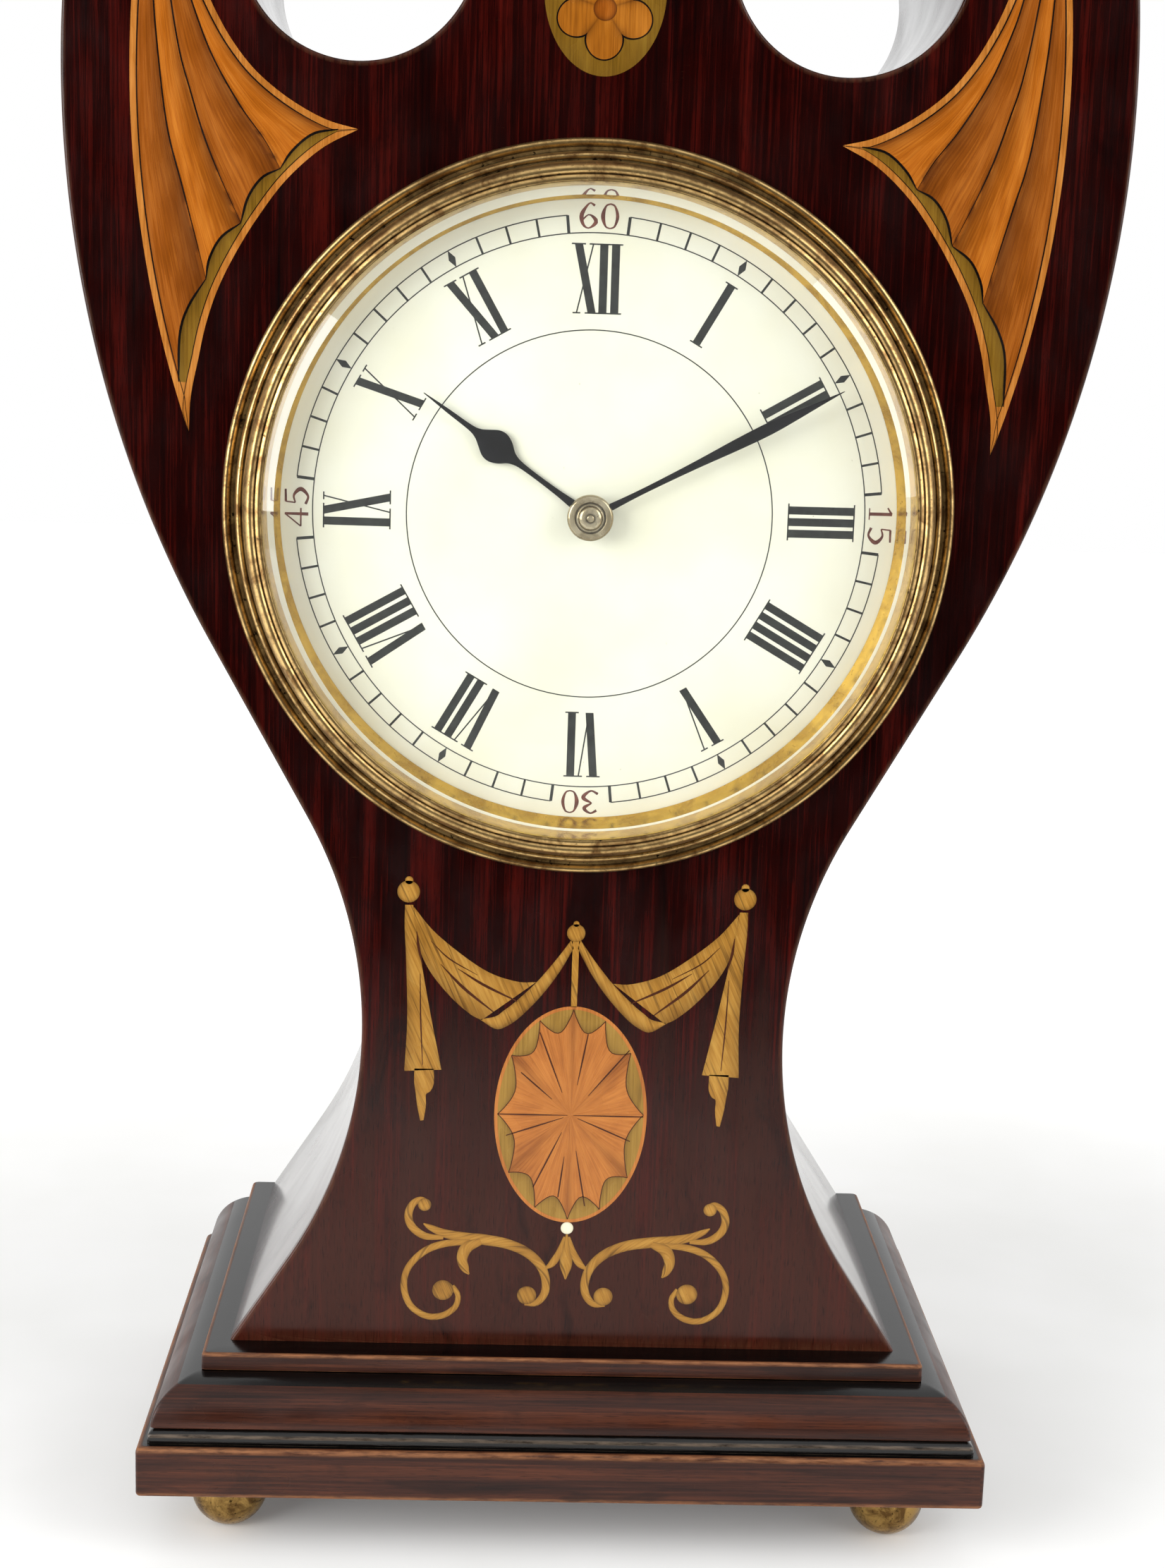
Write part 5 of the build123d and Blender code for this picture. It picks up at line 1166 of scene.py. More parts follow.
@dataclass
class FanInlay:
    """Three-pointed fan of four sand-shaded rays, bordered in boxwood, with green scallops by the dial."""
    outline: CaseOutline = field(default_factory=CaseOutline)
    inset: float = 9.4
    low: float = 10.0
    top: float = 96.0
    border: float = 0.95
    grain_step: float = 37.0            # shift of the grain from ray to ray
    edge_points: int = 90
    rib_points: int = 60
    scallop_string: Pair = (0.17, 0.06)     # half width of a black line in its middle and at its ends
    rib_string: Pair = (0.1, 0.02)
    border_string: Pair = (0.09, 0.02)
    dial_string: Pair = (0.06, 0.02)
    sand: Pair = (0.85, 0.25)           # shading at a ray's left and right edges
    sand_top: float = 0.35              # share of the left edge's shading at a ray's top
    scallop_sand: float = 0.5
    scallop_rows: int = 5
    corner_part: float = 18.0           # an inset line closes over one part in so many of its length
    taper_part: float = 5.0             # a black line thins over one part in so many of its length
    dial_edge: tuple[Pair, ...] = ((56.4, 15.0), (55.4, 20.0), (54.3, 25.0), (52.6, 30.0), (50.1, 35.0),
                                   (47.0, 40.0), (43.2, 45.0), (38.4, 49.3))
    inner_tip: Pair = (33.4, 52.0)
    upper_edge: tuple[Pair, ...] = ((38.0, 53.2), (43.0, 55.8), (47.4, 59.2), (50.6, 63.0), (53.0, 67.0),
                                    (55.0, 71.4), (57.0, 77.5), (58.8, 85.5))
    ribs: tuple[tuple[Pair, ...], ...] = (
        ((58.9, 80.0), (57.3, 71.9), (55.8, 66.9), (53.3, 60.8), (49.7, 54.7), (46.3, 50.2), (44.1, 46.4)),
        ((60.3, 80.0), (59.3, 70.0), (57.9, 61.6), (56.4, 56.3), (54.7, 50.8), (52.6, 45.6), (49.5, 38.9)),
        ((61.6, 80.0), (61.5, 70.0), (60.7, 60.0), (59.5, 51.0), (57.6, 43.8), (55.9, 37.4), (54.3, 31.2)))
    scallops: tuple[tuple[Pair, ...], ...] = (
        ((36.2, 51.9), (39.6, 51.2), (42.4, 48.9), (44.1, 46.4)),
        ((44.1, 46.4), (46.6, 45.1), (48.5, 42.4), (49.5, 38.9)),
        ((49.5, 38.9), (52.2, 36.9), (53.8, 34.0), (54.3, 31.2)),
        ((54.3, 31.2), (56.7, 27.4), (57.9, 23.6), (58.1, 17.0)))

    def belly(self, inset: float, count: int) -> Curve:
        """Outer edge from the top down: an arc parallel to the case's side.

        Args:
            inset: distance from the case's side.
            count: number of points.

        Returns:
            The edge's points.
        """
        radius = self.outline.belly_radius - inset
        centre = (self.outline.belly_half - self.outline.belly_radius, self.outline.belly_up)
        first, last = (math.asin((z - centre[1]) / radius) for z in (self.top, self.low))
        return arc(centre, radius, first, last, count)

    def drawn_in(self, line: Curve, inset: float) -> Curve:
        """Line moved to its left by an inset that fades out over its two ends.

        Args:
            line: points.
            inset: distance to the left.

        Returns:
            The moved line.
        """
        share = np.linspace(0.0, 1.0, len(line))
        fade = np.clip(np.minimum(share, 1 - share) * self.corner_part, 0.0, 1.0)
        return line + normals(line) * (inset * fade)[:, None]

    def build(self) -> None:
        """Make both fans."""
        for name, side in (("left", -1.0), ("right", 1.0)):
            self.one(name, side)

    def one(self, name: str, side: float) -> None:
        """Make one fan, the left one mirrored, from its border inwards.

        Args:
            name: left or right.
            side: -1 or 1.
        """
        flip = np.array([side, 1.0])
        outer = self.belly(self.inset, self.edge_points)
        dial = spline([tuple(outer[-1]), *self.dial_edge, self.inner_tip], self.edge_points)
        upper = spline([self.inner_tip, *self.upper_edge, tuple(outer[0])], self.edge_points)
        shell = Shell("fan_inlay_" + name + "_marquetry")
        rim = np.vstack([outer[:-1], dial[:-1], upper[:-1]])
        shell.fill([on_front(rim * flip, GROUND_LIFT)], BOXWOOD, FRONT)
        outer_in, dial_in, upper_in = (self.drawn_in(line, -self.border) for line in (outer, dial, upper))
        top = outer[0]
        ribs = [spline([tuple(top), *rib], self.rib_points) for rib in self.ribs]
        feet = [spline(points, 17) for points in self.scallops]
        gap = np.hypot(*(upper_in - feet[0][0]).T).argmin()
        shore = even(upper_in[gap:][::-1], self.rib_points)
        end = np.hypot(*(outer_in - feet[3][-1]).T).argmin()
        rim_side = even(outer_in[:end + 1], self.rib_points)
        sides = [shore, *ribs, rim_side]
        for n, foot in enumerate(feet):
            left, right = sides[n], sides[n + 1]
            grid = wedge(left, right, foot)
            across = np.linspace(0.0, 1.0, len(foot))
            down = np.linspace(0.0, 1.0, len(left))[:, None]
            shade = self.sand[0] * (1 - across[None]) ** 3 * (self.sand_top + (1 - self.sand_top) * down)
            shade = shade + self.sand[1] * across[None] ** 8
            run = np.hypot(*(left[0] - left[-1])) * down[:, 0]
            self.ray(shell, grid * flip, shade, run + self.grain_step * n, (SATINWOOD, SATINWOOD_DEEP)[n % 2])
        for foot in feet:
            ends = [np.hypot(*(dial_in - point).T).argmin() for point in (foot[0], foot[-1])]
            shore = even(dial_in[min(ends):max(ends) + 1][::-1], len(foot))
            grid = ruled(foot, shore, self.scallop_rows)
            shade = self.scallop_sand * np.linspace(1, 0, self.scallop_rows)[:, None] ** 2
            shell.flat(grid * flip, SCALLOP_LIFT, GREEN_WOOD, shade)
            self.string_line(shell, foot * flip, *self.scallop_string)
        for rib in ribs:
            self.string_line(shell, rib * flip, *self.rib_string)
        for line in (outer_in, upper_in):
            self.string_line(shell, line * flip, *self.border_string)
        self.string_line(shell, dial_in * flip, *self.dial_string)
        shell.build("clock_case", Slot.SATINWOOD, ["fan_inlay_" + name], closed=False)

    def ray(self, shell: Shell, grid: np.ndarray, shade: np.ndarray, run: np.ndarray, finish: Finish) -> None:
        """Lay one ray with its grain along it.

        Args:
            shell: piece that gets it.
            grid: points down and across the ray.
            shade: sand shading of each point.
            run: grain length of each row.
            finish: its wood.
        """
        width = np.hypot(*(grid[-1, -1] - grid[-1, 0]))
        breadth = np.linspace(0.0, width, grid.shape[1])
        shell.flat(grid.transpose(1, 0, 2), PIECE_LIFT, finish, shade.T, run, breadth)

    def string_line(self, shell: Shell, line: Curve, half: float, taper: float) -> None:
        """Lay a black line, full in its middle and finer at its ends.

        Args:
            shell: piece that gets it.
            line: its middle.
            half: half width in its middle.
            taper: half width at its ends.
        """
        share = np.linspace(0.0, 1.0, len(line))
        width = taper + (half - taper) * np.clip(np.minimum(share, 1 - share) * self.taper_part, 0.0, 1.0)
        aside = normals(line) * width[:, None]
        shell.flat(ruled(line + aside, line - aside), LINE_LIFT, BLACK_LINE)


@dataclass
class PateraInlay:
    """Green oval with a five-petalled flower above the dial."""
    above: float = 71.7
    rx: float = 8.4
    ry: float = 11.6
    flower_at: float = 69.0
    petals: int = 5
    cusp: float = 4.1
    reach: float = 6.7
    eye: float = 1.6
    eye_rim: float = 0.8            # shading at the rims and in the petals' cusps
    oval_rim: float = 0.25
    cusp_sand: float = 0.75
    edging: Pair = (0.14, 0.3)      # black line's weight at a petal's tip, and what it gains at a cusp
    edging_inside: float = 0.4      # share of that weight laid inside the petals
    petal_rings: int = 12

    def petal_rim(self, count: int) -> Curve:
        """Lobed line: radius from the cusp out to the reach as the sine of the petals goes from 0 to 1.

        Args:
            count: number of points.

        Returns:
            The line's points.
        """
        turn = np.linspace(0.0, 2 * math.pi, count)
        lobe = np.abs(np.sin((turn - math.pi / 2) * self.petals / 2)) ** 0.75
        r = self.cusp + (self.reach - self.cusp) * lobe
        return np.stack([r * np.cos(turn), self.flower_at + r * np.sin(turn)], axis=1)

    def build(self) -> None:
        """Make the oval, the petals and their black outline."""
        shell = Shell("patera_inlay_flower")
        turn = np.linspace(0.0, 2 * math.pi, 120)
        ring = np.stack([self.rx * np.cos(turn), self.ry * np.sin(turn)], axis=1)
        share = np.linspace(PINHOLE, 1.0, 8)[:, None, None]
        middle = np.array([0.0, self.above])
        shade = self.oval_rim * share[..., 0] ** 6 * np.ones(len(turn))
        shell.flat(middle + ring[None] * share, GROUND_LIFT, GREEN_WOOD, shade)
        rim = self.petal_rim(241)
        heart = np.array([0.0, self.flower_at])
        inner = heart + (rim - heart)[None] * np.linspace(0.05, 1.0, self.petal_rings)[:, None, None]
        lobe = (np.hypot(*(rim - heart).T) - self.cusp) / (self.reach - self.cusp)
        shade = self.cusp_sand * (1 - lobe[None]) ** 2 * np.linspace(0.3, 1.0, self.petal_rings)[:, None]
        shell.flat(inner, PIECE_LIFT, AMBER_WOOD, shade)
        heavy = (self.edging[0] + self.edging[1] * (1 - lobe) ** 2)[:, None]
        outward = (rim - heart) / np.hypot(*(rim - heart).T)[:, None]
        inside = rim - outward * heavy * self.edging_inside
        shell.flat(ruled(inside, rim + outward * heavy), SCALLOP_LIFT, BLACK_LINE)
        shell.disc((0.0, self.flower_at), self.eye, LINE_LIFT, SATINWOOD_DEEP, self.eye_rim)
        shell.build("clock_case", Slot.SATINWOOD, ["patera_inlay"], closed=False)


@dataclass
class ShellInlay:
    """Upright oval of sand-shaded wedges with green scallops round its rim."""
    below: float = 89.4
    rx: float = 11.4
    ry: float = 16.9
    border: float = 0.5
    bow: float = 0.2
    grain_step: float = 23.0        # shift of the grain from wedge to wedge
    wedge_width: float = 6.0
    joints: tuple[float, ...] = (90, 64, 37, 1, -36, -64, -90, -117, -146, -180, -214, -243, -270)
    lines: tuple[tuple[float, float, float], ...] = (
        (0, 0.04, 1.0), (180, 0.04, 1.0), (-16, 0.1, 0.86), (-125, 0.2, 0.85), (120, 0.25, 0.9),
        (-167, 0.1, 0.9), (39, 0.3, 1.0), (75, 0.3, 0.8), (-75, 0.35, 0.9),
        (-100, 0.4, 0.8), (150, 0.3, 0.8))
    line_halves: Triple = (0.04, 0.11, 0.08)
    rim_line: float = 0.06
    sand: Pair = (0.6, 0.15)        # shading along a wedge's edge and at the oval's middle
    scallop_sand: float = 0.5

    def at(self, angle: np.ndarray, share: np.ndarray, margin: float = 0.0) -> np.ndarray:
        """Point of the oval: its half axes less a margin, at an angle, scaled by a share.

        Args:
            angle: direction in radians, counter-clockwise from the right.
            share: how far out, 0 to 1.
            margin: what the half axes lose.

        Returns:
            The points.
        """
        x = (self.rx - margin) * share * np.cos(angle)
        z = (self.ry - margin) * share * np.sin(angle) - self.below
        return np.stack([x, z], axis=-1)

    def build(self) -> None:
        """Make the border, the wedges, the scallops and the black lines."""
        shell = Shell("shell_inlay_oval")
        turn = np.linspace(0.0, 2 * math.pi, 145)
        full = np.ones(len(turn))
        shell.flat(ruled(self.at(turn, full), self.at(turn, full, self.border)), PIECE_LIFT, SHELL_WOOD)
        across = np.linspace(0.0, 1.0, 15)
        reach = 1 - self.bow * np.sin(math.pi * across) ** 0.8
        down = np.linspace(0.0, 1.0, 24)[:, None]
        for n, (first, last) in enumerate(zip(self.joints, self.joints[1:])):
            angle = np.radians(first + (last - first) * across)
            grid = self.at(angle[None], down * reach[None], self.border)
            lead = across if n % 2 else 1 - across
            shade = self.sand[0] * lead[None] ** 6 * down ** 1.2 + self.sand[1] * (1 - down) ** 3
            run, breadth = down[:, 0] * self.ry + self.grain_step * n, across * self.wedge_width
            shell.flat(grid.transpose(1, 0, 2), PIECE_LIFT, SHELL_WOOD, shade.T, run, breadth)
            rim = np.linspace(0.0, 1.0, 5)[:, None]
            lens = self.at(angle[None], reach[None] * (1 - rim) + rim, self.border)
            shade = self.scallop_sand * (1 - rim) ** 3 * np.ones(len(across))
            shell.flat(lens, SCALLOP_LIFT, SHELL_GREEN, shade)
            arc_line = np.insert(self.at(angle, reach, self.border), 2, self.rim_line, axis=1)
            shell.line([tuple(p) for p in arc_line], LINE_LIFT, BROWN_LINE, len(across))
        for angle, first, last in self.lines:
            ends = self.at(np.radians(np.full(3, angle)), np.linspace(first, last, 3), self.border)
            shell.line([(*p, w) for p, w in zip(ends, self.line_halves)], LINE_LIFT, BROWN_LINE, 12)
        shell.build("clock_case", Slot.SATINWOOD, ["shell_inlay"], closed=False)


@dataclass
class SwagInlay:
    """Drapery swag: two festoons with hanging tails, hung from three balls."""
    upper: tuple[Pair, ...] = ((23.9, -57.9), (20.9, -61.5), (16.4, -65.2), (12.4, -67.7), (8.4, -68.9),
                               (5.7, -68.9))
    lower: tuple[Pair, ...] = ((23.4, -62.0), (22.7, -65.0), (20.9, -68.3), (17.9, -71.8), (15.2, -74.1),
                               (13.6, -74.9))
    fold_low: tuple[Pair, ...] = ((0.3, -63.6), (2.3, -67.3), (4.9, -71.0), (7.9, -74.3), (10.1, -75.9),
                                  (11.6, -76.2), (13.9, -74.8))
    fold_high: tuple[Pair, ...] = ((0.7, -62.4), (2.9, -65.5), (5.7, -69.0), (8.7, -72.0), (10.4, -73.4),
                                   (11.6, -74.3), (13.9, -74.8))
    tail_left: tuple[Pair, ...] = ((24.0, -57.6), (23.5, -61.0), (22.7, -66.0), (21.2, -74.0), (19.4, -82.7))
    tail_right: tuple[Pair, ...] = ((25.2, -57.6), (25.2, -61.0), (24.9, -66.0), (24.6, -75.0), (24.9, -83.0))
    tip_left: tuple[Pair, ...] = ((20.5, -82.6), (20.5, -84.9), (21.0, -86.1), (21.6, -86.6), (21.6, -88.4),
                                  (21.9, -90.6))
    tip_right: tuple[Pair, ...] = ((23.4, -82.6), (23.4, -84.6), (23.2, -86.0), (23.0, -87.6), (22.8, -88.8),
                                   (22.4, -90.7))
    slits: tuple[tuple[Triple, ...], ...] = (
        ((17.3, -67.1, 0.04), (13.4, -69.5, 0.2), (8.4, -71.9, 0.08)),
        ((19.8, -66.5, 0.04), (16.4, -70.0, 0.22), (11.9, -73.6, 0.08)),
        ((23.4, -61.6, 0.05), (23.1, -64.0, 0.2), (22.5, -66.6, 0.04)),
        ((22.8, -68.0, 0.04), (22.6, -75.0, 0.1), (22.2, -82.0, 0.05)),
        ((21.3, -63.0, 0.03), (18.6, -65.6, 0.1), (14.4, -68.0, 0.03)))
    balls: tuple[Triple, ...] = ((24.7, -55.6, 1.65), (24.65, -53.9, 0.6))
    ball_rim: float = 0.6           # shading at a ball's rim
    middle_balls: tuple[Triple, ...] = ((0.0, -61.3, 1.35), (0.0, -59.9, 0.45))
    stem: tuple[Triple, ...] = ((0.0, -62.2, 0.45), (0.0, -67.0, 0.48), (0.0, -72.6, 0.42))

    def build(self) -> None:
        """Make both halves and the middle."""
        shell = Shell("swag_inlay_drapery")
        for side in (-1.0, 1.0):
            flip = np.array([side, 1.0])
            for first, second, shade in ((self.upper, self.lower, 0.5), (self.fold_high, self.fold_low, 0.7),
                                         (self.tail_left, self.tail_right, 0.45),
                                         (self.tip_left, self.tip_right, 0.3)):
                grid = ruled(spline(first, 40), spline(second, 40), 9)
                across = np.linspace(0.0, 1.0, 9)[:, None]
                sanded = shade * (across ** 3 + 0.5 * (1 - across) ** 6)
                shell.flat(grid * flip, PIECE_LIFT, SWAG_WOOD, sanded)
            for slit in self.slits:
                shell.line([(x * side, z, w) for x, z, w in slit], LINE_LIFT, BROWN_LINE, 20)
            for x, z, radius in self.balls:
                shell.disc((x * side, z), radius, SCALLOP_LIFT, SWAG_WOOD, self.ball_rim)
        shell.line(self.stem, PIECE_LIFT, SWAG_WOOD, 20, 3)
        for x, z, radius in self.middle_balls:
            shell.disc((x, z), radius, SCALLOP_LIFT, SWAG_WOOD, self.ball_rim)
        shell.build("clock_case", Slot.SATINWOOD, ["swag_inlay"], closed=False)


@dataclass
class ScrollInlay:
    """Pair of leafy scrolls at the foot, with a leaf and a bone pearl between them."""
    bands: tuple[tuple[Triple, ...], ...] = (
        ((6.1, -119.5, 0.25), (4.3, -119.3, 0.5), (3.1, -117.7, 0.6), (3.0, -115.5, 0.65), (3.9, -113.2, 0.7),
         (6.0, -111.2, 0.75), (9.0, -109.9, 0.8), (12.5, -109.3, 0.85), (15.5, -109.0, 0.8),
         (18.5, -108.4, 0.65), (20.6, -107.5, 0.45), (21.6, -106.9, 0.1)),
        ((18.6, -109.1, 0.3), (21.3, -108.9, 0.55), (23.2, -107.6, 0.6), (23.9, -105.8, 0.6),
         (23.4, -104.0, 0.55), (22.2, -103.1, 0.45), (21.2, -103.4, 0.35)),
        ((14.5, -109.7, 0.4), (18.5, -110.1, 0.55), (21.5, -111.4, 0.55), (23.8, -114.0, 0.5),
         (24.4, -117.0, 0.5), (23.4, -120.0, 0.5), (21.0, -121.7, 0.5), (18.5, -121.6, 0.5),
         (16.6, -120.2, 0.45), (16.2, -118.3, 0.4), (17.1, -116.8, 0.4)),
        ((12.9, -109.6, 0.5), (15.0, -110.6, 0.9), (15.7, -112.4, 0.8), (15.2, -114.0, 0.6),
         (14.6, -114.9, 0.1)),
        ((0.3, -108.6, 0.2), (1.0, -111.0, 0.5), (2.0, -112.8, 0.55), (3.0, -113.7, 0.2)))
    blobs: tuple[Triple, ...] = ((5.8, -118.1, 1.45), (21.5, -103.9, 1.0), (18.5, -117.5, 1.6))
    leaf: tuple[Triple, ...] = ((0.0, -108.2, 0.15), (0.0, -110.5, 0.5), (0.0, -112.9, 0.95),
                                (0.0, -115.4, 0.1))
    pearl: Triple = (0.0, -107.2, 0.95)
    overlap: float = 0.003          # each band lies this much above the one before
    blob_rim: float = 0.6           # shading at the rims and along the bands' edges
    pearl_rim: float = 0.4
    band_edge: float = 0.45

    def build(self) -> None:
        """Make both scrolls, the leaf and the pearl."""
        shell = Shell("scroll_inlay_leafwork")
        edge = self.band_edge * np.abs(np.linspace(-1.0, 1.0, 7))[:, None] ** 3
        for side in (-1.0, 1.0):
            for n, points in enumerate(self.bands):
                lift = PIECE_LIFT + self.overlap * n
                shell.line([(x * side, z, w) for x, z, w in points], lift, SWAG_WOOD, 60, 7, edge)
            for x, z, radius in self.blobs:
                shell.disc((x * side, z), radius, LINE_LIFT, SWAG_WOOD, self.blob_rim)
        shell.line(self.leaf, LINE_LIFT, SWAG_WOOD, 30, 7, edge)
        shell.disc(self.pearl[:2], self.pearl[2], SPOT_LIFT, BONE, self.pearl_rim)
        shell.build("clock_case", Slot.SATINWOOD, ["scroll_inlay"], closed=False)


@dataclass
class Plinth:
    """Plinth of four mitred members on brass balls, its ledges black: partly stain, partly painted reflection
    of the dark case front.
    """
    half_width: float = 62.9
    front: float = -41.75
    back: float = 41.75
    moulding_back: float = 38.75
    base: Pair = (9.9, 17.6)
    lower_fillet: Pair = (17.6, 19.8)
    ovolo: Pair = (19.8, 26.2)
    upper_fillet: Pair = (26.2, 28.8)
    lower_in: float = 1.4           # setbacks from the block's faces
    ovolo_in: float = 1.9
    upper_in: float = 8.6
    ovolo_black_from: float = 5.1   # setback where the rounded top turns black, partly as painted reflection of the dark case front
    mitre: float = 0.6
    foot_at: Pair = (50.4, 29.25)
    foot_radius: float = 5.8
    foot_flat: float = 1.5
    foot_top: float = math.radians(47)
    ball_end: float = 0.7           # the ball stops this far below the block
    collar: tuple[Pair, ...] = (    # radius, and height from the block
        (4.0, -0.55), (4.35, -0.4), (4.35, -0.05), (4.1, 0.0))
    wrinkled: Pair = (3.2, 2.4)     # where the wrinkles start below the block, and over what height
    wrinkle: float = 0.012
    foot_steps: int = 64
    collar_darkening: float = 0.9

    def oblong(self, setback: float, back: float) -> Curve:
        """Closed oblong drawn in by a setback at front and sides, with lightly rounded corners.

        Args:
            setback: distance from the block's front and sides.
            back: depth of its back.

        Returns:
            Points of the oblong.
        """
        x, front = self.half_width - setback, self.front + setback
        corners = ((x, front), (x, back), (-x, back), (-x, front))
        line, _ = eased([(*corner, self.mitre) for corner in corners], closed=True)
        return line

    def moulding(self, node: str, section: Sequence[Triple], back: float, finish: Finish, slot: Slot,
                 black_from: float) -> None:
        """Carry a section round the oblong: each of its points is an oblong at its own setback and height.

        Args:
            node: node that it stands for.
            section: setback, height and easing of each corner, from the bottom up.
            back: depth of its back.
            finish: finish of its face.
            slot: its slot.
            black_from: setback where its black ledge starts.
        """
        line, tip = eased(section, steps=7)
        loops = np.stack([np.insert(self.oblong(s, back), 2, z, axis=1) for s, z in line])
        dense, run = self.divided(loops)
        breadth = run_of(line)
        tone = tip[:, None] * np.ones(dense.shape[1])
        cut = np.nonzero(line[:, 0] < black_from)[0][-1] + 1
        shell = Shell(node + "_worn")
        shell.grid(dense[:cut + 1], finish, run, breadth[:cut + 1], tone[:cut + 1], close_columns=True)
        # ledges in black: partly stain, partly painted reflection of the dark case front
        shell.grid(dense[cut:], EBONY_AND_PAINTED_REFLECTION, run, breadth[cut:], close_columns=True)
        shell.fill([dense[0]], finish, (0, 0, -1), level=True)
        shell.fill([dense[-1]], EBONY_AND_PAINTED_REFLECTION, (0, 0, 1), level=True)
        shell.build("clock_case", slot, [node])

    def divided(self, loops: np.ndarray) -> tuple[np.ndarray, np.ndarray]:
        """Add points along the straight sides, at even shares between each two corners' ends.

        Args:
            loops: section points by loop points by three.

        Returns:
            The finer loops and the running length round them.
        """
        share = np.linspace(0.0, 1.0, 7)[:-1, None]
        after = np.roll(loops, -1, axis=1)
        fine = loops[:, :, None] * (1 - share) + after[:, :, None] * share
        dense = fine.reshape(len(loops), -1, 3)
        return dense, run_of(dense[0], True)

    def foot(self, name: str, x: float, y: float) -> None:
        """Turned ball on a worn flat, its collar wrinkled under the block: radius over height, spun upright.

        Args:
            name: which foot.
            x: its axis.
            y: its axis.
        """
        top = self.base[0]
        low = -math.acos(self.foot_flat / self.foot_radius)
        angle = np.linspace(low, self.foot_top, 40)
        middle = -self.foot_radius * math.sin(low)
        ball = np.stack([self.foot_radius * np.cos(angle), middle + self.foot_radius * np.sin(angle)], axis=1)
        ball = ball[ball[:, 1] < top - self.ball_end]
        profile = np.vstack([ball, [(r, top + z) for r, z in self.collar]])
        turn = np.linspace(0.0, 2 * math.pi, self.foot_steps, endpoint=False)[None]
        r, z = profile[:, :1], profile[:, 1:]
        start, length = self.wrinkled
        near_top = np.clip((z - (top - start)) / length, 0.0, 1.0)
        waves = np.sin(9 * turn) + np.sin(23 * turn + 1.0)
        r = r * (1 + self.wrinkle * near_top * waves * (z < top - self.ball_end))
        grid = np.stack(np.broadcast_arrays(x + r * np.cos(turn), y + r * np.sin(turn), z), axis=-1)
        shell = Shell("ball_foot_turned_" + name)
        # darker towards the top of the foot, under the block
        dark_marks = near_top ** 2 * self.collar_darkening * np.ones(self.foot_steps)
        shell.grid(grid, FOOT_BRASS, tone=dark_marks, close_columns=True)
        shell.fill([grid[0]], FOOT_BRASS, (0, 0, -1))
        shell.fill([grid[-1]], FOOT_BRASS, (0, 0, 1))
        shell.build("clock_case", Slot.BRASS, ["ball_foot_" + name])

    def rounded(self) -> list[Triple]:
        """Ovolo's section: a quarter ellipse from its foot back to the upper fillet.

        Returns:
            Setback, height and easing of each point.
        """
        (low, high), near = self.ovolo, self.ovolo_in
        reach, rise = self.upper_in + 0.3 - near, high - low - 0.2
        turn = np.linspace(0.02, math.pi / 2, 22)
        return [(near + reach * (1 - math.cos(t)), low + 0.1 + rise * math.sin(t), 0.0) for t in turn]

    def build(self) -> None:
        """Make the members from the bottom up, then the feet."""
        low, high = self.base
        self.moulding("base_block", [(1.0, low, 0), (0.0, low, 0.8), (0.0, high, 0.9), (6.0, high, 0)],
                      self.back, PLINTH_WOOD, Slot.MAHOGANY, 0.8)
        low, high = self.lower_fillet
        near = self.lower_in
        self.moulding("lower_fillet", [
            (near + 2, low, 0), (near + 0.1, low, 0.1), (near + 0.1, high - 0.9, 0.4),
            (near + 0.9, high - 0.2, 0.4), (near + 1.1, high, 0.1), (near + 5, high, 0)],
            self.moulding_back, EBONY_AND_PAINTED_REFLECTION, Slot.EBONISED, near + 0.5)
        low, near = self.ovolo[0], self.ovolo_in
        self.moulding("ovolo_moulding", [(near + 3, low, 0), (near + 0.2, low, 0.1), *self.rounded()],
                      self.moulding_back, PLINTH_WOOD, Slot.MAHOGANY, self.ovolo_black_from)
        low, high = self.upper_fillet
        near = self.upper_in
        self.moulding("upper_fillet", [
            (near + 2, low, 0), (near, low, 0.1), (near, high, 0.6), (near + 3, high, 0)],
            self.moulding_back, PLINTH_WOOD, Slot.MAHOGANY, near + 0.5)
        x, y = self.foot_at
        for name, sx, sy in (("front_left", -1, -1), ("front_right", 1, -1), ("back_left", -1, 1),
                             ("back_right", 1, 1)):
            self.foot(name, sx * x, sy * y)


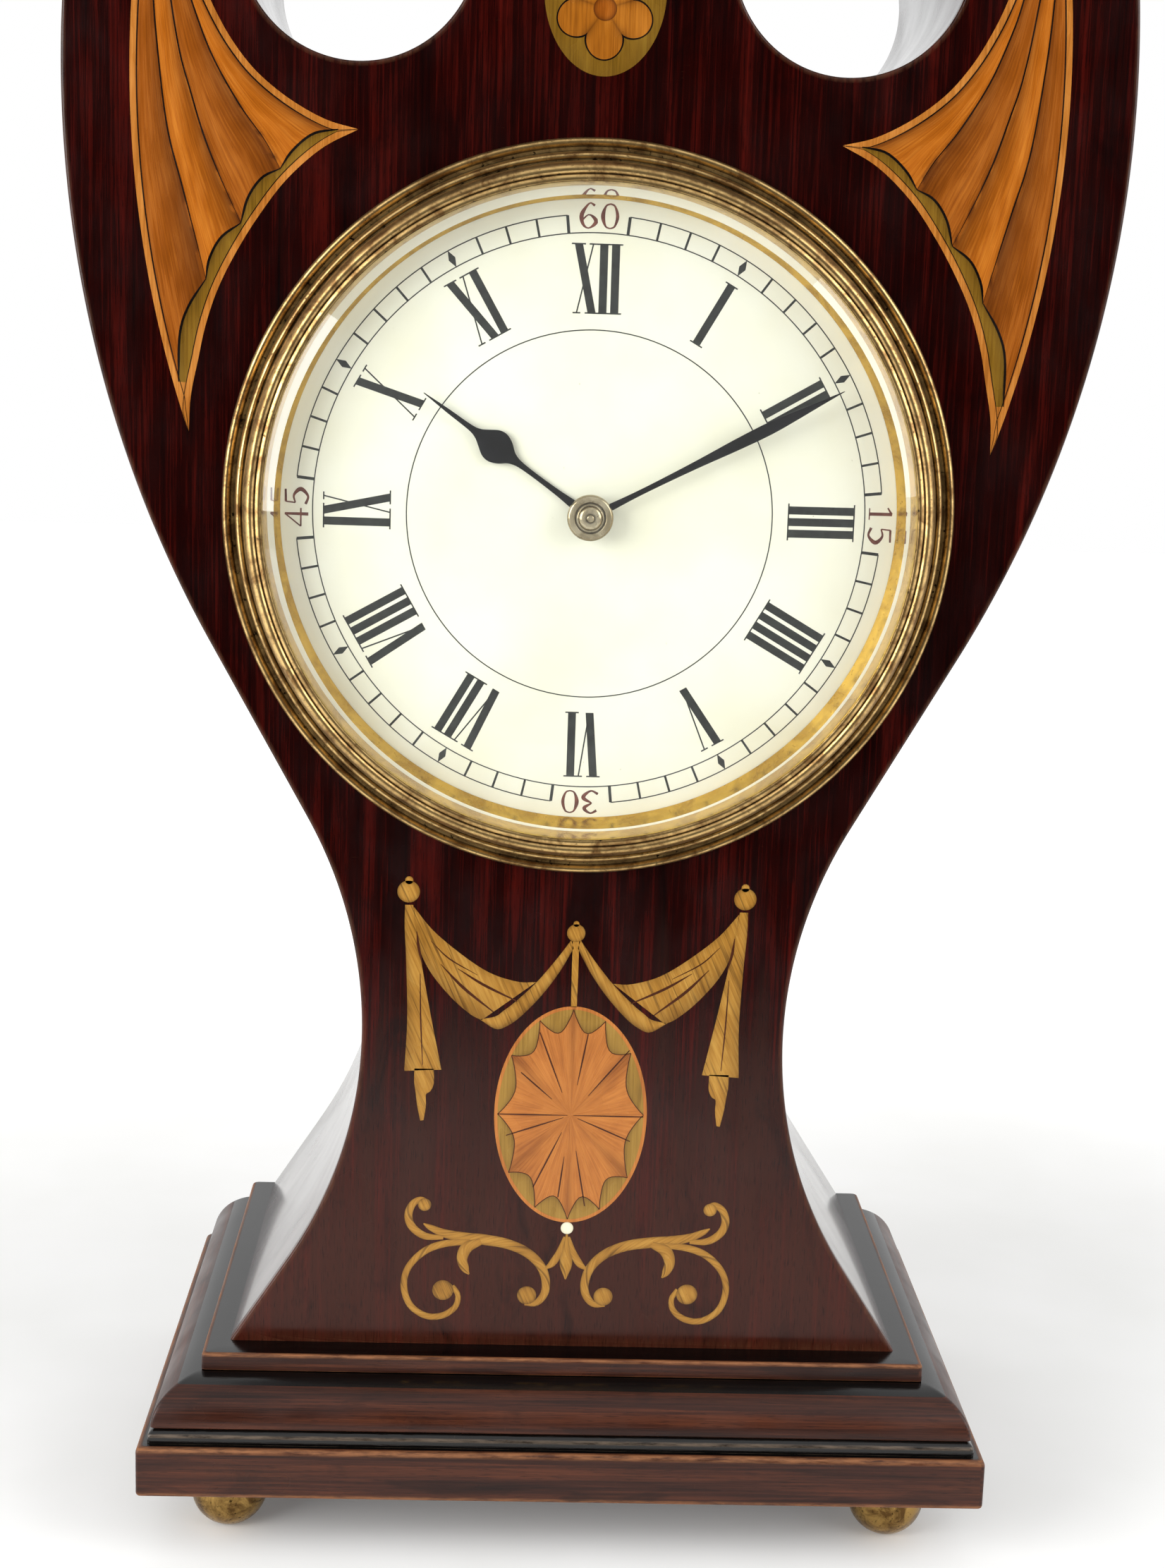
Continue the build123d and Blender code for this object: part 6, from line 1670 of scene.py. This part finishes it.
@dataclass
class DialHead:
    """Brass bezel with its bevelled glass, gilt slip and enamelled dial."""
    steps: int = 240
    flange: tuple[Triple, ...] = (
        (46.0, -28.26, 0), (51.9, -28.26, 0.1), (52.0, -29.0, 0.4), (51.7, -29.8, 0.45), (51.1, -29.85, 0.3),
        (50.75, -29.3, 0.15), (50.2, -29.2, 0.1), (50.0, -29.85, 0.1), (46.0, -29.85, 0.05))
    flange_grooves: tuple[int, ...] = (5, 6)
    ring: tuple[Triple, ...] = (
        (49.9, -29.9, 0.05), (49.95, -30.7, 0.2), (49.7, -31.45, 0.3), (49.25, -31.6, 0.25),
        (48.95, -31.25, 0.12), (48.75, -31.3, 0.12), (48.65, -32.9, 0.5), (48.4, -33.9, 0.45),
        (47.85, -34.75, 0.4), (47.3, -34.85, 0.3), (46.95, -34.6, 0.1), (46.85, -34.35, 0.08),
        (46.75, -34.6, 0.1), (46.35, -34.84, 0.25), (45.95, -34.8, 0.12), (45.8, -34.6, 0.08),
        (47.35, -33.75, 0.1), (47.35, -29.9, 0.1))
    ring_grooves: tuple[int, ...] = (4, 5, 11, 15)
    groove_reach: float = 0.35      # distance from a groove's corner where its darkening ends
    glass_rim: float = 47.2
    glass_front: float = -37.05     # front of the dome
    glass_behind: float = -34.85    # back of the dome
    dome_rise: float = 1.35
    bevel: float = 3.2
    rim_front: float = -33.65
    rim_back: float = -31.45
    glass_sharp: float = math.radians(15)
    slip: tuple[Triple, ...] = ((45.5, -31.3, 0.1), (46.6, -31.42, 0.1), (44.4, -27.75, 0.1),
                                (43.7, -27.75, 0.1))
    dial_radius: float = 44.0
    dial_apex: float = -29.45
    dial_crown: float = 1.8
    dial_hole: float = 2.7
    dial_thick: float = 1.4

    def ringed(self, name: str, node: str, section: Sequence[Triple], finish: Finish, slot: Slot,
               grooves: Sequence[int] = ()) -> None:
        """Turn a closed section about the dial's axis.

        Args:
            name: piece's name.
            node: node that it stands for.
            section: radius, depth and easing of each corner.
            finish: its finish.
            slot: its slot.
            grooves: corners that are darkened.
        """
        line, _ = eased(section, closed=True)
        dark_marks = groove_darkening(line, section, grooves, self.groove_reach)[:, None]
        grid = turned(line, self.steps)
        shell = Shell(name)
        shell.grid(grid, finish, tone=dark_marks * np.ones(self.steps), close_rows=True, close_columns=True)
        shell.build("clock_case", slot, [node])

    def dome_depth(self, r: np.ndarray) -> np.ndarray:
        """Depth of the dial's face: a sphere that falls by the crown at the dial's edge."""
        sphere = (self.dial_radius ** 2 + self.dial_crown ** 2) / (2 * self.dial_crown)
        return self.dial_apex + sphere - np.sqrt(sphere ** 2 - r ** 2)

    def glass(self) -> None:
        """Domed glass with a ground bevel: parabola, straight bevel, rim, flat seat and parabola."""
        inner = self.glass_rim - self.bevel
        r = np.linspace(0.0, inner, 30)
        share = (r / inner) ** 2
        front = np.stack([r, self.glass_front + self.dome_rise * share], axis=1)
        behind = np.stack([r, self.glass_behind + (self.rim_back - self.glass_behind) * share], axis=1)
        rim = np.array([(self.glass_rim, self.rim_front), (self.glass_rim, self.rim_back)])
        shell = Shell("glass_bevelled_dome")
        shell.grid(turned(np.vstack([front, rim, behind[::-1]]), self.steps), GLASS, close_columns=True)
        shell.build("clock_case", Slot.GLASS, ["glass"], sharp=self.glass_sharp)

    def dial(self) -> None:
        """Domed enamel disc with a hole for the hands' arbor."""
        r = np.linspace(self.dial_hole, self.dial_radius, 40)
        front = np.stack([r, self.dome_depth(r)], axis=1)
        back = front[::-1] + [0.0, self.dial_thick]
        shell = Shell("dial_enamelled_dome")
        shell.grid(turned(np.vstack([front, back]), self.steps), ENAMEL, close_rows=True, close_columns=True)
        shell.build("clock_case", Slot.ENAMEL, ["dial"])

    def build(self) -> None:
        """Make the head from the case outwards."""
        self.ringed("bezel_flange_beaded", "bezel_flange", self.flange, BRASS, Slot.BRASS,
                    self.flange_grooves)
        self.ringed("bezel_ring_moulded", "bezel_ring", self.ring, BRASS, Slot.BRASS, self.ring_grooves)
        self.ringed("sight_ring_gilt", "sight_ring", self.slip, GILT, Slot.GILT)
        self.glass()
        self.dial()


@dataclass
class DialPrint:
    """Black and red fired painting on the dial, laid on its dome."""
    head: DialHead
    lift: float = 0.012
    low: float = 28.3
    high: float = 37.7
    thick: float = 0.57
    fine: float = 0.1
    serif: float = 0.98
    fine_serif: float = 0.55
    spread: dict[str, float] = field(default_factory=lambda: {"I": 1.65, "V": 3.3, "X": 3.4})
    strokes: dict[str, tuple[tuple[float, float, bool], ...]] = field(default_factory=lambda: {
        "I": ((0.0, 0.0, True),),   # side distance of its top and its foot, and whether it is thick
        "V": ((-0.85, -0.05, True), (1.3, 0.0, False)),
        "X": ((-1.02, 1.02, True), (1.02, -1.1, False))})
    numerals: tuple[str, ...] = ("XII", "I", "II", "III", "IIII", "V", "VI", "VII", "VIII", "IX", "X", "XI")
    track: Pair = (39.25, 41.7)
    inner_ring: float = 26.0
    figure_gap: float = 6.0         # degrees that the outer ring stops short of a quarter figure
    ring_density: float = 1.5       # points per degree
    stroke_points: int = 9
    pen_points: int = 28
    line: float = 0.08
    tick: float = 0.16
    quarter_tick: float = 0.21
    lozenge: Pair = (1.25, 0.5)     # half length and half width
    lozenge_tip: float = 0.01
    digit_height: float = 3.3
    digit_wide: float = 4.6         # width that a drawn width of 1 takes
    digit_foot: float = 39.85
    digit_step: float = 3.0
    digit_shift: float = 0.2
    quarters: tuple[str, ...] = ("60", "15", "30", "45")
    digits: dict[str, tuple[tuple[Triple, ...], ...]] = field(default_factory=lambda: {
        "0": (((0.3, 1.0, 0.03), (0.16, 0.9, 0.04), (0.08, 0.5, 0.09), (0.16, 0.1, 0.04), (0.3, 0.0, 0.03)),
              ((0.3, 0.0, 0.03), (0.44, 0.1, 0.04), (0.52, 0.5, 0.07), (0.44, 0.9, 0.04), (0.3, 1.0, 0.03))),
        "1": (((0.3, 0.0, 0.07), (0.3, 1.0, 0.07)), ((0.1, 0.8, 0.03), (0.3, 0.98, 0.05)),
              ((0.12, 0.01, 0.025), (0.48, 0.01, 0.025))),
        "3": (((0.1, 0.88, 0.06), (0.3, 1.0, 0.04), (0.49, 0.78, 0.08), (0.26, 0.55, 0.03)),
              ((0.26, 0.55, 0.03), (0.53, 0.3, 0.09), (0.3, 0.0, 0.04), (0.07, 0.13, 0.06))),
        "4": (((0.42, 0.0, 0.07), (0.42, 1.0, 0.05)), ((0.42, 1.0, 0.03), (0.04, 0.32, 0.03)),
              ((0.04, 0.32, 0.035), (0.6, 0.32, 0.035))),
        "5": (((0.14, 0.96, 0.05), (0.52, 0.97, 0.04)), ((0.14, 0.97, 0.03), (0.11, 0.56, 0.03)),
              ((0.11, 0.56, 0.03), (0.34, 0.62, 0.05), (0.53, 0.33, 0.09), (0.32, 0.02, 0.05),
               (0.07, 0.12, 0.06))),
        "6": (((0.48, 0.92, 0.05), (0.31, 1.0, 0.03), (0.09, 0.55, 0.09), (0.14, 0.14, 0.06),
               (0.32, 0.0, 0.03), (0.53, 0.28, 0.09), (0.32, 0.55, 0.03), (0.12, 0.34, 0.04)),)})

    def drape(self, grid: np.ndarray, angle: float) -> np.ndarray:
        """Turn a drawing of side and radial distance to an hour's direction and lay it on the dome.

        Args:
            grid: side distance and radial distance.
            angle: direction clockwise from the top, in degrees.

        Returns:
            Points on the dome.
        """
        a = math.radians(angle)
        x = grid[..., 1] * math.sin(a) + grid[..., 0] * math.cos(a)
        z = grid[..., 1] * math.cos(a) - grid[..., 0] * math.sin(a)
        y = self.head.dome_depth(np.hypot(x, z)) - self.lift
        return np.stack([x, y, z + DIAL_Z], axis=-1)

    def stroke(self, shell: Shell, first: Pair, last: Pair, half: float, angle: float) -> None:
        """Paint a straight stroke whose ends are cut square to the dial's radius.

        Args:
            shell: piece that gets it.
            first: side and radial distance of one end.
            last: the other end.
            half: half width across.
            angle: direction of the numeral.
        """
        line = np.linspace(first, last, self.stroke_points)
        level = abs(last[1] - first[1]) < abs(last[0] - first[0])
        aside = np.array([0.0, half]) if level else np.array([half, 0.0])
        shell.grid(self.drape(ruled(line - aside, line + aside, 3), angle), BLACK_INK, facing=FRONT)

    def letter(self, shell: Shell, kind: str, at: float, angle: float) -> None:
        """Paint one letter of a numeral: thick and thin strokes with hairline feet.

        Args:
            shell: piece that gets it.
            kind: I, V or X.
            at: side distance of its middle.
            angle: direction of the numeral.
        """
        for top, foot, heavy in self.strokes[kind]:
            first, last = (at + top, self.high), (at + foot, self.low)
            half = self.thick if heavy else self.fine
            self.stroke(shell, first, last, half, angle)
            ends = (first, last) if kind != "V" else (first,)
            for side, radius in ends:
                reach = self.serif if heavy else self.fine_serif
                self.stroke(shell, (side - reach, radius), (side + reach, radius), self.fine, angle)

    def circle(self, shell: Shell, radius: float, first: float, last: float) -> None:
        """Paint part of a circle.

        Args:
            shell: piece that gets it.
            radius: its radius.
            first: direction of its start, in degrees.
            last: direction of its end.
        """
        turn = np.radians(np.linspace(first, last, int((last - first) * self.ring_density)))
        ring = np.stack([np.sin(turn), np.cos(turn)], axis=-1)
        grid = ruled(ring * (radius - self.line), ring * (radius + self.line))
        shell.grid(self.drape(grid, 0.0), BLACK_INK, facing=FRONT)

    def build(self) -> None:
        """Paint the rings, the minute track, the numerals and the quarter figures."""
        shell = Shell("dial_painting")
        self.circle(shell, self.inner_ring, 0.0, 360.0)
        self.circle(shell, self.track[0], 0.0, 360.0)
        for quarter in range(4):
            first, last = quarter * 90 + self.figure_gap, (quarter + 1) * 90 - self.figure_gap
            self.circle(shell, self.track[1], first, last)
        for minute in range(60):
            if minute % 5:
                half = self.quarter_tick if minute % 15 in (1, 14) else self.tick
                self.stroke(shell, (0.0, self.track[0]), (0.0, self.track[1]), half, minute * 6)
            elif minute % 15:
                self.lozenge_mark(shell, minute * 6)
        for hour, numeral in enumerate(self.numerals):
            at = -sum(self.spread[kind] for kind in numeral) / 2
            for kind in numeral:
                self.letter(shell, kind, at + self.spread[kind] / 2, hour * 30)
                at += self.spread[kind]
        for n, figure in enumerate(self.quarters):
            for place, digit in enumerate(figure):
                self.digit(shell, digit, (place - 1) * self.digit_step + self.digit_shift, n * 90)
        shell.build("clock_case", Slot.ENAMEL, closed=False)

    def lozenge_mark(self, shell: Shell, angle: float) -> None:
        """Paint a lozenge: its half width falls evenly to nothing at both ends.

        Args:
            shell: piece that gets it.
            angle: its direction.
        """
        middle = sum(self.track) / 2
        reach = np.linspace(-1.0, 1.0, self.stroke_points)
        none = np.zeros(self.stroke_points)
        line = np.stack([none, middle + reach * self.lozenge[0]], axis=1)
        aside = np.stack([(1 - np.abs(reach)) * self.lozenge[1] + self.lozenge_tip, none], axis=1)
        shell.grid(self.drape(ruled(line - aside, line + aside), angle), BLACK_INK, facing=FRONT)

    def digit(self, shell: Shell, digit: str, at: float, angle: float) -> None:
        """Paint one red figure from its pen strokes.

        Args:
            shell: piece that gets it.
            digit: the figure.
            at: side distance of its left edge.
            angle: its direction.
        """
        wide, tall = self.digit_wide, self.digit_height
        for points in self.digits[digit]:
            sized = [(at + x * wide, self.digit_foot + z * tall, w * tall) for x, z, w in points]
            shell.grid(self.drape(ruled(*band(sized, self.pen_points)), angle), RED_INK, facing=FRONT)


@dataclass
class Hands:
    """Blued steel hands and the nut that holds them."""
    hour_angle: float = 305.0
    minute_angle: float = 62.0
    hour_level: Pair = (-30.15, -29.75)
    minute_level: Pair = (-31.45, -31.05)
    hour_shape: tuple[Pair, ...] = (
        (0.5, 0.75), (2.0, 0.7), (6.0, 0.42), (11.5, 0.4), (13.6, 0.8), (14.9, 1.75), (16.2, 2.3),
        (17.4, 2.15), (18.5, 1.45), (19.6, 0.75), (21.0, 0.42), (25.0, 0.28), (29.0, 0.06))
    minute_shape: tuple[Pair, ...] = (
        (0.5, 0.6), (2.0, 0.55), (8.0, 0.38), (16.0, 0.5), (23.0, 0.78), (28.0, 0.85), (32.0, 0.62),
        (36.0, 0.3), (39.5, 0.05))
    section: tuple[Pair, ...] = (           # share of the half width, and of the thickness from the front
        (-1.0, 0.45), (-0.55, 0.1), (0.0, 0.0), (0.55, 0.1), (1.0, 0.45), (1.0, 1.0), (-1.0, 1.0))
    boss: float = 2.6
    hour_bore: float = 2.2
    minute_bore: float = 1.0
    nut: tuple[Triple, ...] = (
        (1.02, -31.5, 0), (3.2, -31.5, 0.1), (3.3, -32.0, 0.2), (3.05, -32.4, 0.2), (2.3, -32.5, 0.15),
        (2.1, -32.3, 0.1), (1.75, -32.35, 0.1), (1.6, -32.9, 0.2), (1.1, -33.1, 0.2), (0.55, -33.05, 0.1),
        (0.5, -33.38, 0.15), (0.0, -33.45, 0))
    nut_grooves: tuple[int, ...] = (5, 9)
    groove_reach: float = 0.3
    nut_steps: int = 72
    boss_steps: int = 64
    length_points: int = 120

    def hand(self, name: str, node: str, body: str, shape: Sequence[Pair], level: Pair, angle: float,
             bore: float) -> None:
        """Filed hand: half widths along its length carry a low roof section, with a flat round boss.

        Args:
            name: piece's name.
            node: node that it stands for.
            body: body that it rides on.
            shape: distance from the arbor and half width.
            level: depths of its front and back.
            angle: direction clockwise from the top, in degrees.
            bore: radius of the hole in its boss.
        """
        reach, half = spline(shape, self.length_points).T
        front, back = level
        section = np.array(self.section)
        side = half[:, None] * section[None, :, 0]
        depth = front + (back - front) * np.broadcast_to(section[:, 1], side.shape)
        a = math.radians(angle)
        out = np.broadcast_to(reach[:, None], side.shape)
        grid = np.stack([out * math.sin(a) + side * math.cos(a), depth,
                         DIAL_Z + out * math.cos(a) - side * math.sin(a)], axis=-1)
        shell = Shell(name)
        shell.grid(grid, BLUED, close_columns=True)
        for end in (grid[0], grid[-1]):
            shell.fill([end], BLUED, (0, 0, 1))
        ring, _ = eased([(bore, front, 0.05), (self.boss, front, 0.12), (self.boss, back, 0.05),
                         (bore, back, 0.05)], closed=True)
        shell.grid(turned(ring, self.boss_steps), BLUED, close_rows=True, close_columns=True)
        shell.build(body, Slot.BLUED, [node])

    def build(self) -> None:
        """Make both hands and the nut."""
        self.hand("hour_hand_spade", "hour_hand", "hour_work", self.hour_shape, self.hour_level,
                  self.hour_angle, self.hour_bore)
        self.hand("minute_hand_lance", "minute_hand", "hands_arbor", self.minute_shape, self.minute_level,
                  self.minute_angle, self.minute_bore)
        line, _ = eased(self.nut)
        dark_marks = groove_darkening(line, self.nut, self.nut_grooves, self.groove_reach)[:, None]
        grid = turned(line, self.nut_steps)
        shell = Shell("hand_nut_turned")
        shell.grid(grid, NICKEL, tone=dark_marks * np.ones(self.nut_steps), close_columns=True)
        shell.fill([grid[0]], NICKEL, (0, 1, 0))
        shell.build("hands_arbor", Slot.NICKEL, ["hand_nut"])


@dataclass
class HiddenWork:
    """Solids that keep their own shape: carcase, movement and back, dressed by their slots."""
    by_slot: dict[Slot, Finish] = field(default_factory=lambda: {
        Slot.MAHOGANY: CORE_WOOD, Slot.EBONISED: EBONY_AND_PAINTED_REFLECTION, Slot.SATINWOOD: SATINWOOD, Slot.BRASS: MOVEMENT_BRASS,
        Slot.GILT: GILT, Slot.GLASS: GLASS, Slot.ENAMEL: ENAMEL, Slot.BLUED: BLUED, Slot.STEEL: STEEL,
        Slot.NICKEL: NICKEL})
    by_node: dict[str, Finish] = field(default_factory=lambda: {
        "back_ring": BACK_BRASS, "back_door": BACK_BRASS, "hinge_pin": BACK_BRASS})

    def dress(self) -> None:
        """Give every solid its finish."""
        slots = {row["node"]: row["material_slot"] for row in frame["record"]["subparts"]}
        for node, piece in frame["nodes"].items():
            finish = self.by_node.get(node, self.by_slot[Slot(slots[node])])
            if piece.material_slots:
                for place in piece.material_slots:
                    place.material = finish.material()
            else:
                piece.data.materials.append(finish.material())
            LOG.info("%s: dressed as %s", node, finish.name)


@dataclass(frozen=True)
class Lamp:
    """One soft square lamp: places in millimetres, metres across, watts."""
    name: str
    at: Triple
    power: float
    aim: Triple = (0.0, 0.0, 160.0)
    size: float = 0.5


@dataclass
class Studio:
    """White table and soft light, with the camera where the photograph was taken."""
    camera_at: Triple = (-10.97, -369.80, 183.59)
    yaw: float = 0.03278
    pitch: float = 0.19506
    roll: float = 0.03155
    lens: float = 55.06
    film: float = 36.0
    nearest: float = 0.01           # metres, nothing closer is seen
    table: tuple[Pair, Pair] = ((-1600.0, 1600.0), (-270.0, 1600.0))
    table_points: int = 9
    sky: float = 0.72
    front_gloom: float = 0.02       # what the polish mirrors of the dark room in front
    front_light: float = 0.4        # what that room still sheds
    gloom_ends: Pair = (-0.97, -0.55)   # how far forward a ray looks where the dark room begins and ends
    light_ends: Pair = (-0.9, -0.1)
    lamps: tuple[Lamp, ...] = (
        Lamp("window_left", (-600.0, -450.0, 330.0), 5.8), Lamp("window_right", (560.0, -340.0, 400.0), 3.0))

    def camera(self) -> None:
        """Place the camera from its yaw, pitch and roll."""
        level = math.cos(self.pitch)
        ahead = np.array([math.sin(self.yaw) * level, math.cos(self.yaw) * level, -math.sin(self.pitch)])
        right = np.array([math.cos(self.yaw), -math.sin(self.yaw), 0.0])
        up = np.cross(right, ahead)
        rolled_right = right * math.cos(self.roll) + up * math.sin(self.roll)
        rolled_up = up * math.cos(self.roll) - right * math.sin(self.roll)
        lens = bpy.data.cameras.new("viewpoint")
        lens.sensor_fit = "VERTICAL"
        lens.sensor_height = self.film
        lens.lens = self.lens
        lens.clip_start = self.nearest
        camera = bpy.data.objects.new("viewpoint", lens)
        turn = Matrix(np.stack([rolled_right, rolled_up, -ahead], axis=1).tolist()).to_4x4()
        camera.matrix_world = Matrix.Translation([c * MM for c in self.camera_at]) @ turn
        bpy.context.scene.collection.objects.link(camera)
        bpy.context.scene.camera = camera

    def lights(self) -> None:
        """Hang the soft lamps, each aimed at the case."""
        for lamp in self.lamps:
            light = bpy.data.lights.new(lamp.name, "AREA")
            light.size = lamp.size
            light.energy = lamp.power
            hung = bpy.data.objects.new(lamp.name, light)
            hung.location = [c * MM for c in lamp.at]
            hung.rotation_euler = (Vector(lamp.aim) - Vector(lamp.at)).to_track_quat("-Z", "Y").to_euler()
            bpy.context.scene.collection.objects.link(hung)

    def sky_light(self) -> None:
        """White surroundings to the eye, a little dimmer as light, and a dark room behind the viewer."""
        world = bpy.data.worlds.new("white_tent")
        world.use_nodes = True
        tree = world.node_tree
        tree.nodes.clear()
        depth = add_node(tree, "SeparateXYZ", {0: add_node(tree, "TexCoord", out="Generated")}, out=1)
        facing = add_node(tree, "MapRange", {
            "Value": depth, "From Min": self.gloom_ends[0], "From Max": self.gloom_ends[1],
            "To Min": self.front_gloom, "To Max": 1.0}, interpolation_type="SMOOTHSTEP")
        seen, through, mirrored = (add_node(tree, "LightPath", out=ray) for ray in (
            "Is Camera Ray", "Is Transmission Ray", "Is Glossy Ray"))
        either = add_node(tree, "Math", {0: seen, 1: through}, operation="MAXIMUM")
        shed = add_node(tree, "MapRange", {
            "Value": depth, "From Min": self.light_ends[0], "From Max": self.light_ends[1],
            "To Min": self.front_light, "To Max": self.sky}, interpolation_type="SMOOTHSTEP")
        dim = add_node(tree, "Mix", {0: mirrored, 2: shed, 3: facing}, data_type="FLOAT")
        level = add_node(tree, "Mix", {0: either, 2: dim, 3: 1.0}, data_type="FLOAT")
        light = add_node(tree, "Background", {"Color": grey(1.0), "Strength": level})
        add_node(tree, "OutputWorld", {"Surface": light})
        bpy.context.scene.world = world

    def floor(self) -> None:
        """White table that keeps the shadow: a flat grid of evenly spaced points each way."""
        (left, right), (near, far) = self.table
        n = self.table_points
        x, y = np.meshgrid(np.linspace(left, right, n), np.linspace(near, far, n))
        points = np.stack([x, y, np.zeros_like(x)], axis=-1).reshape(-1, 3) * MM
        i, j = np.meshgrid(np.arange(n - 1), np.arange(n - 1), indexing="ij")
        first = i * n + j
        faces = np.stack([first, first + 1, first + n + 1, first + n], axis=-1).reshape(-1, 4)
        mesh = bpy.data.meshes.new("table_top")
        mesh.from_pydata(points.tolist(), [], faces.tolist())
        mesh.materials.append(TABLE.material())
        table = bpy.data.objects.new("table_top", mesh)
        bpy.context.scene.collection.objects.link(table)

    def build(self) -> None:
        """Set the stage."""
        bpy.context.scene.view_settings.view_transform = "Standard"
        self.camera()
        self.lights()
        self.sky_light()
        self.floor()


def main() -> None:
    """Build the stage and every sub-assembly."""
    logging.basicConfig(level=logging.INFO, format="%(name)s %(message)s")
    Studio().build()
    CaseBody().build()
    for inlay in (FanInlay(), PateraInlay(), ShellInlay(), SwagInlay(), ScrollInlay()):
        inlay.build()
    Plinth().build()
    head = DialHead()
    head.build()
    DialPrint(head).build()
    Hands().build()
    HiddenWork().dress()


if __name__ == "__main__":
    main()
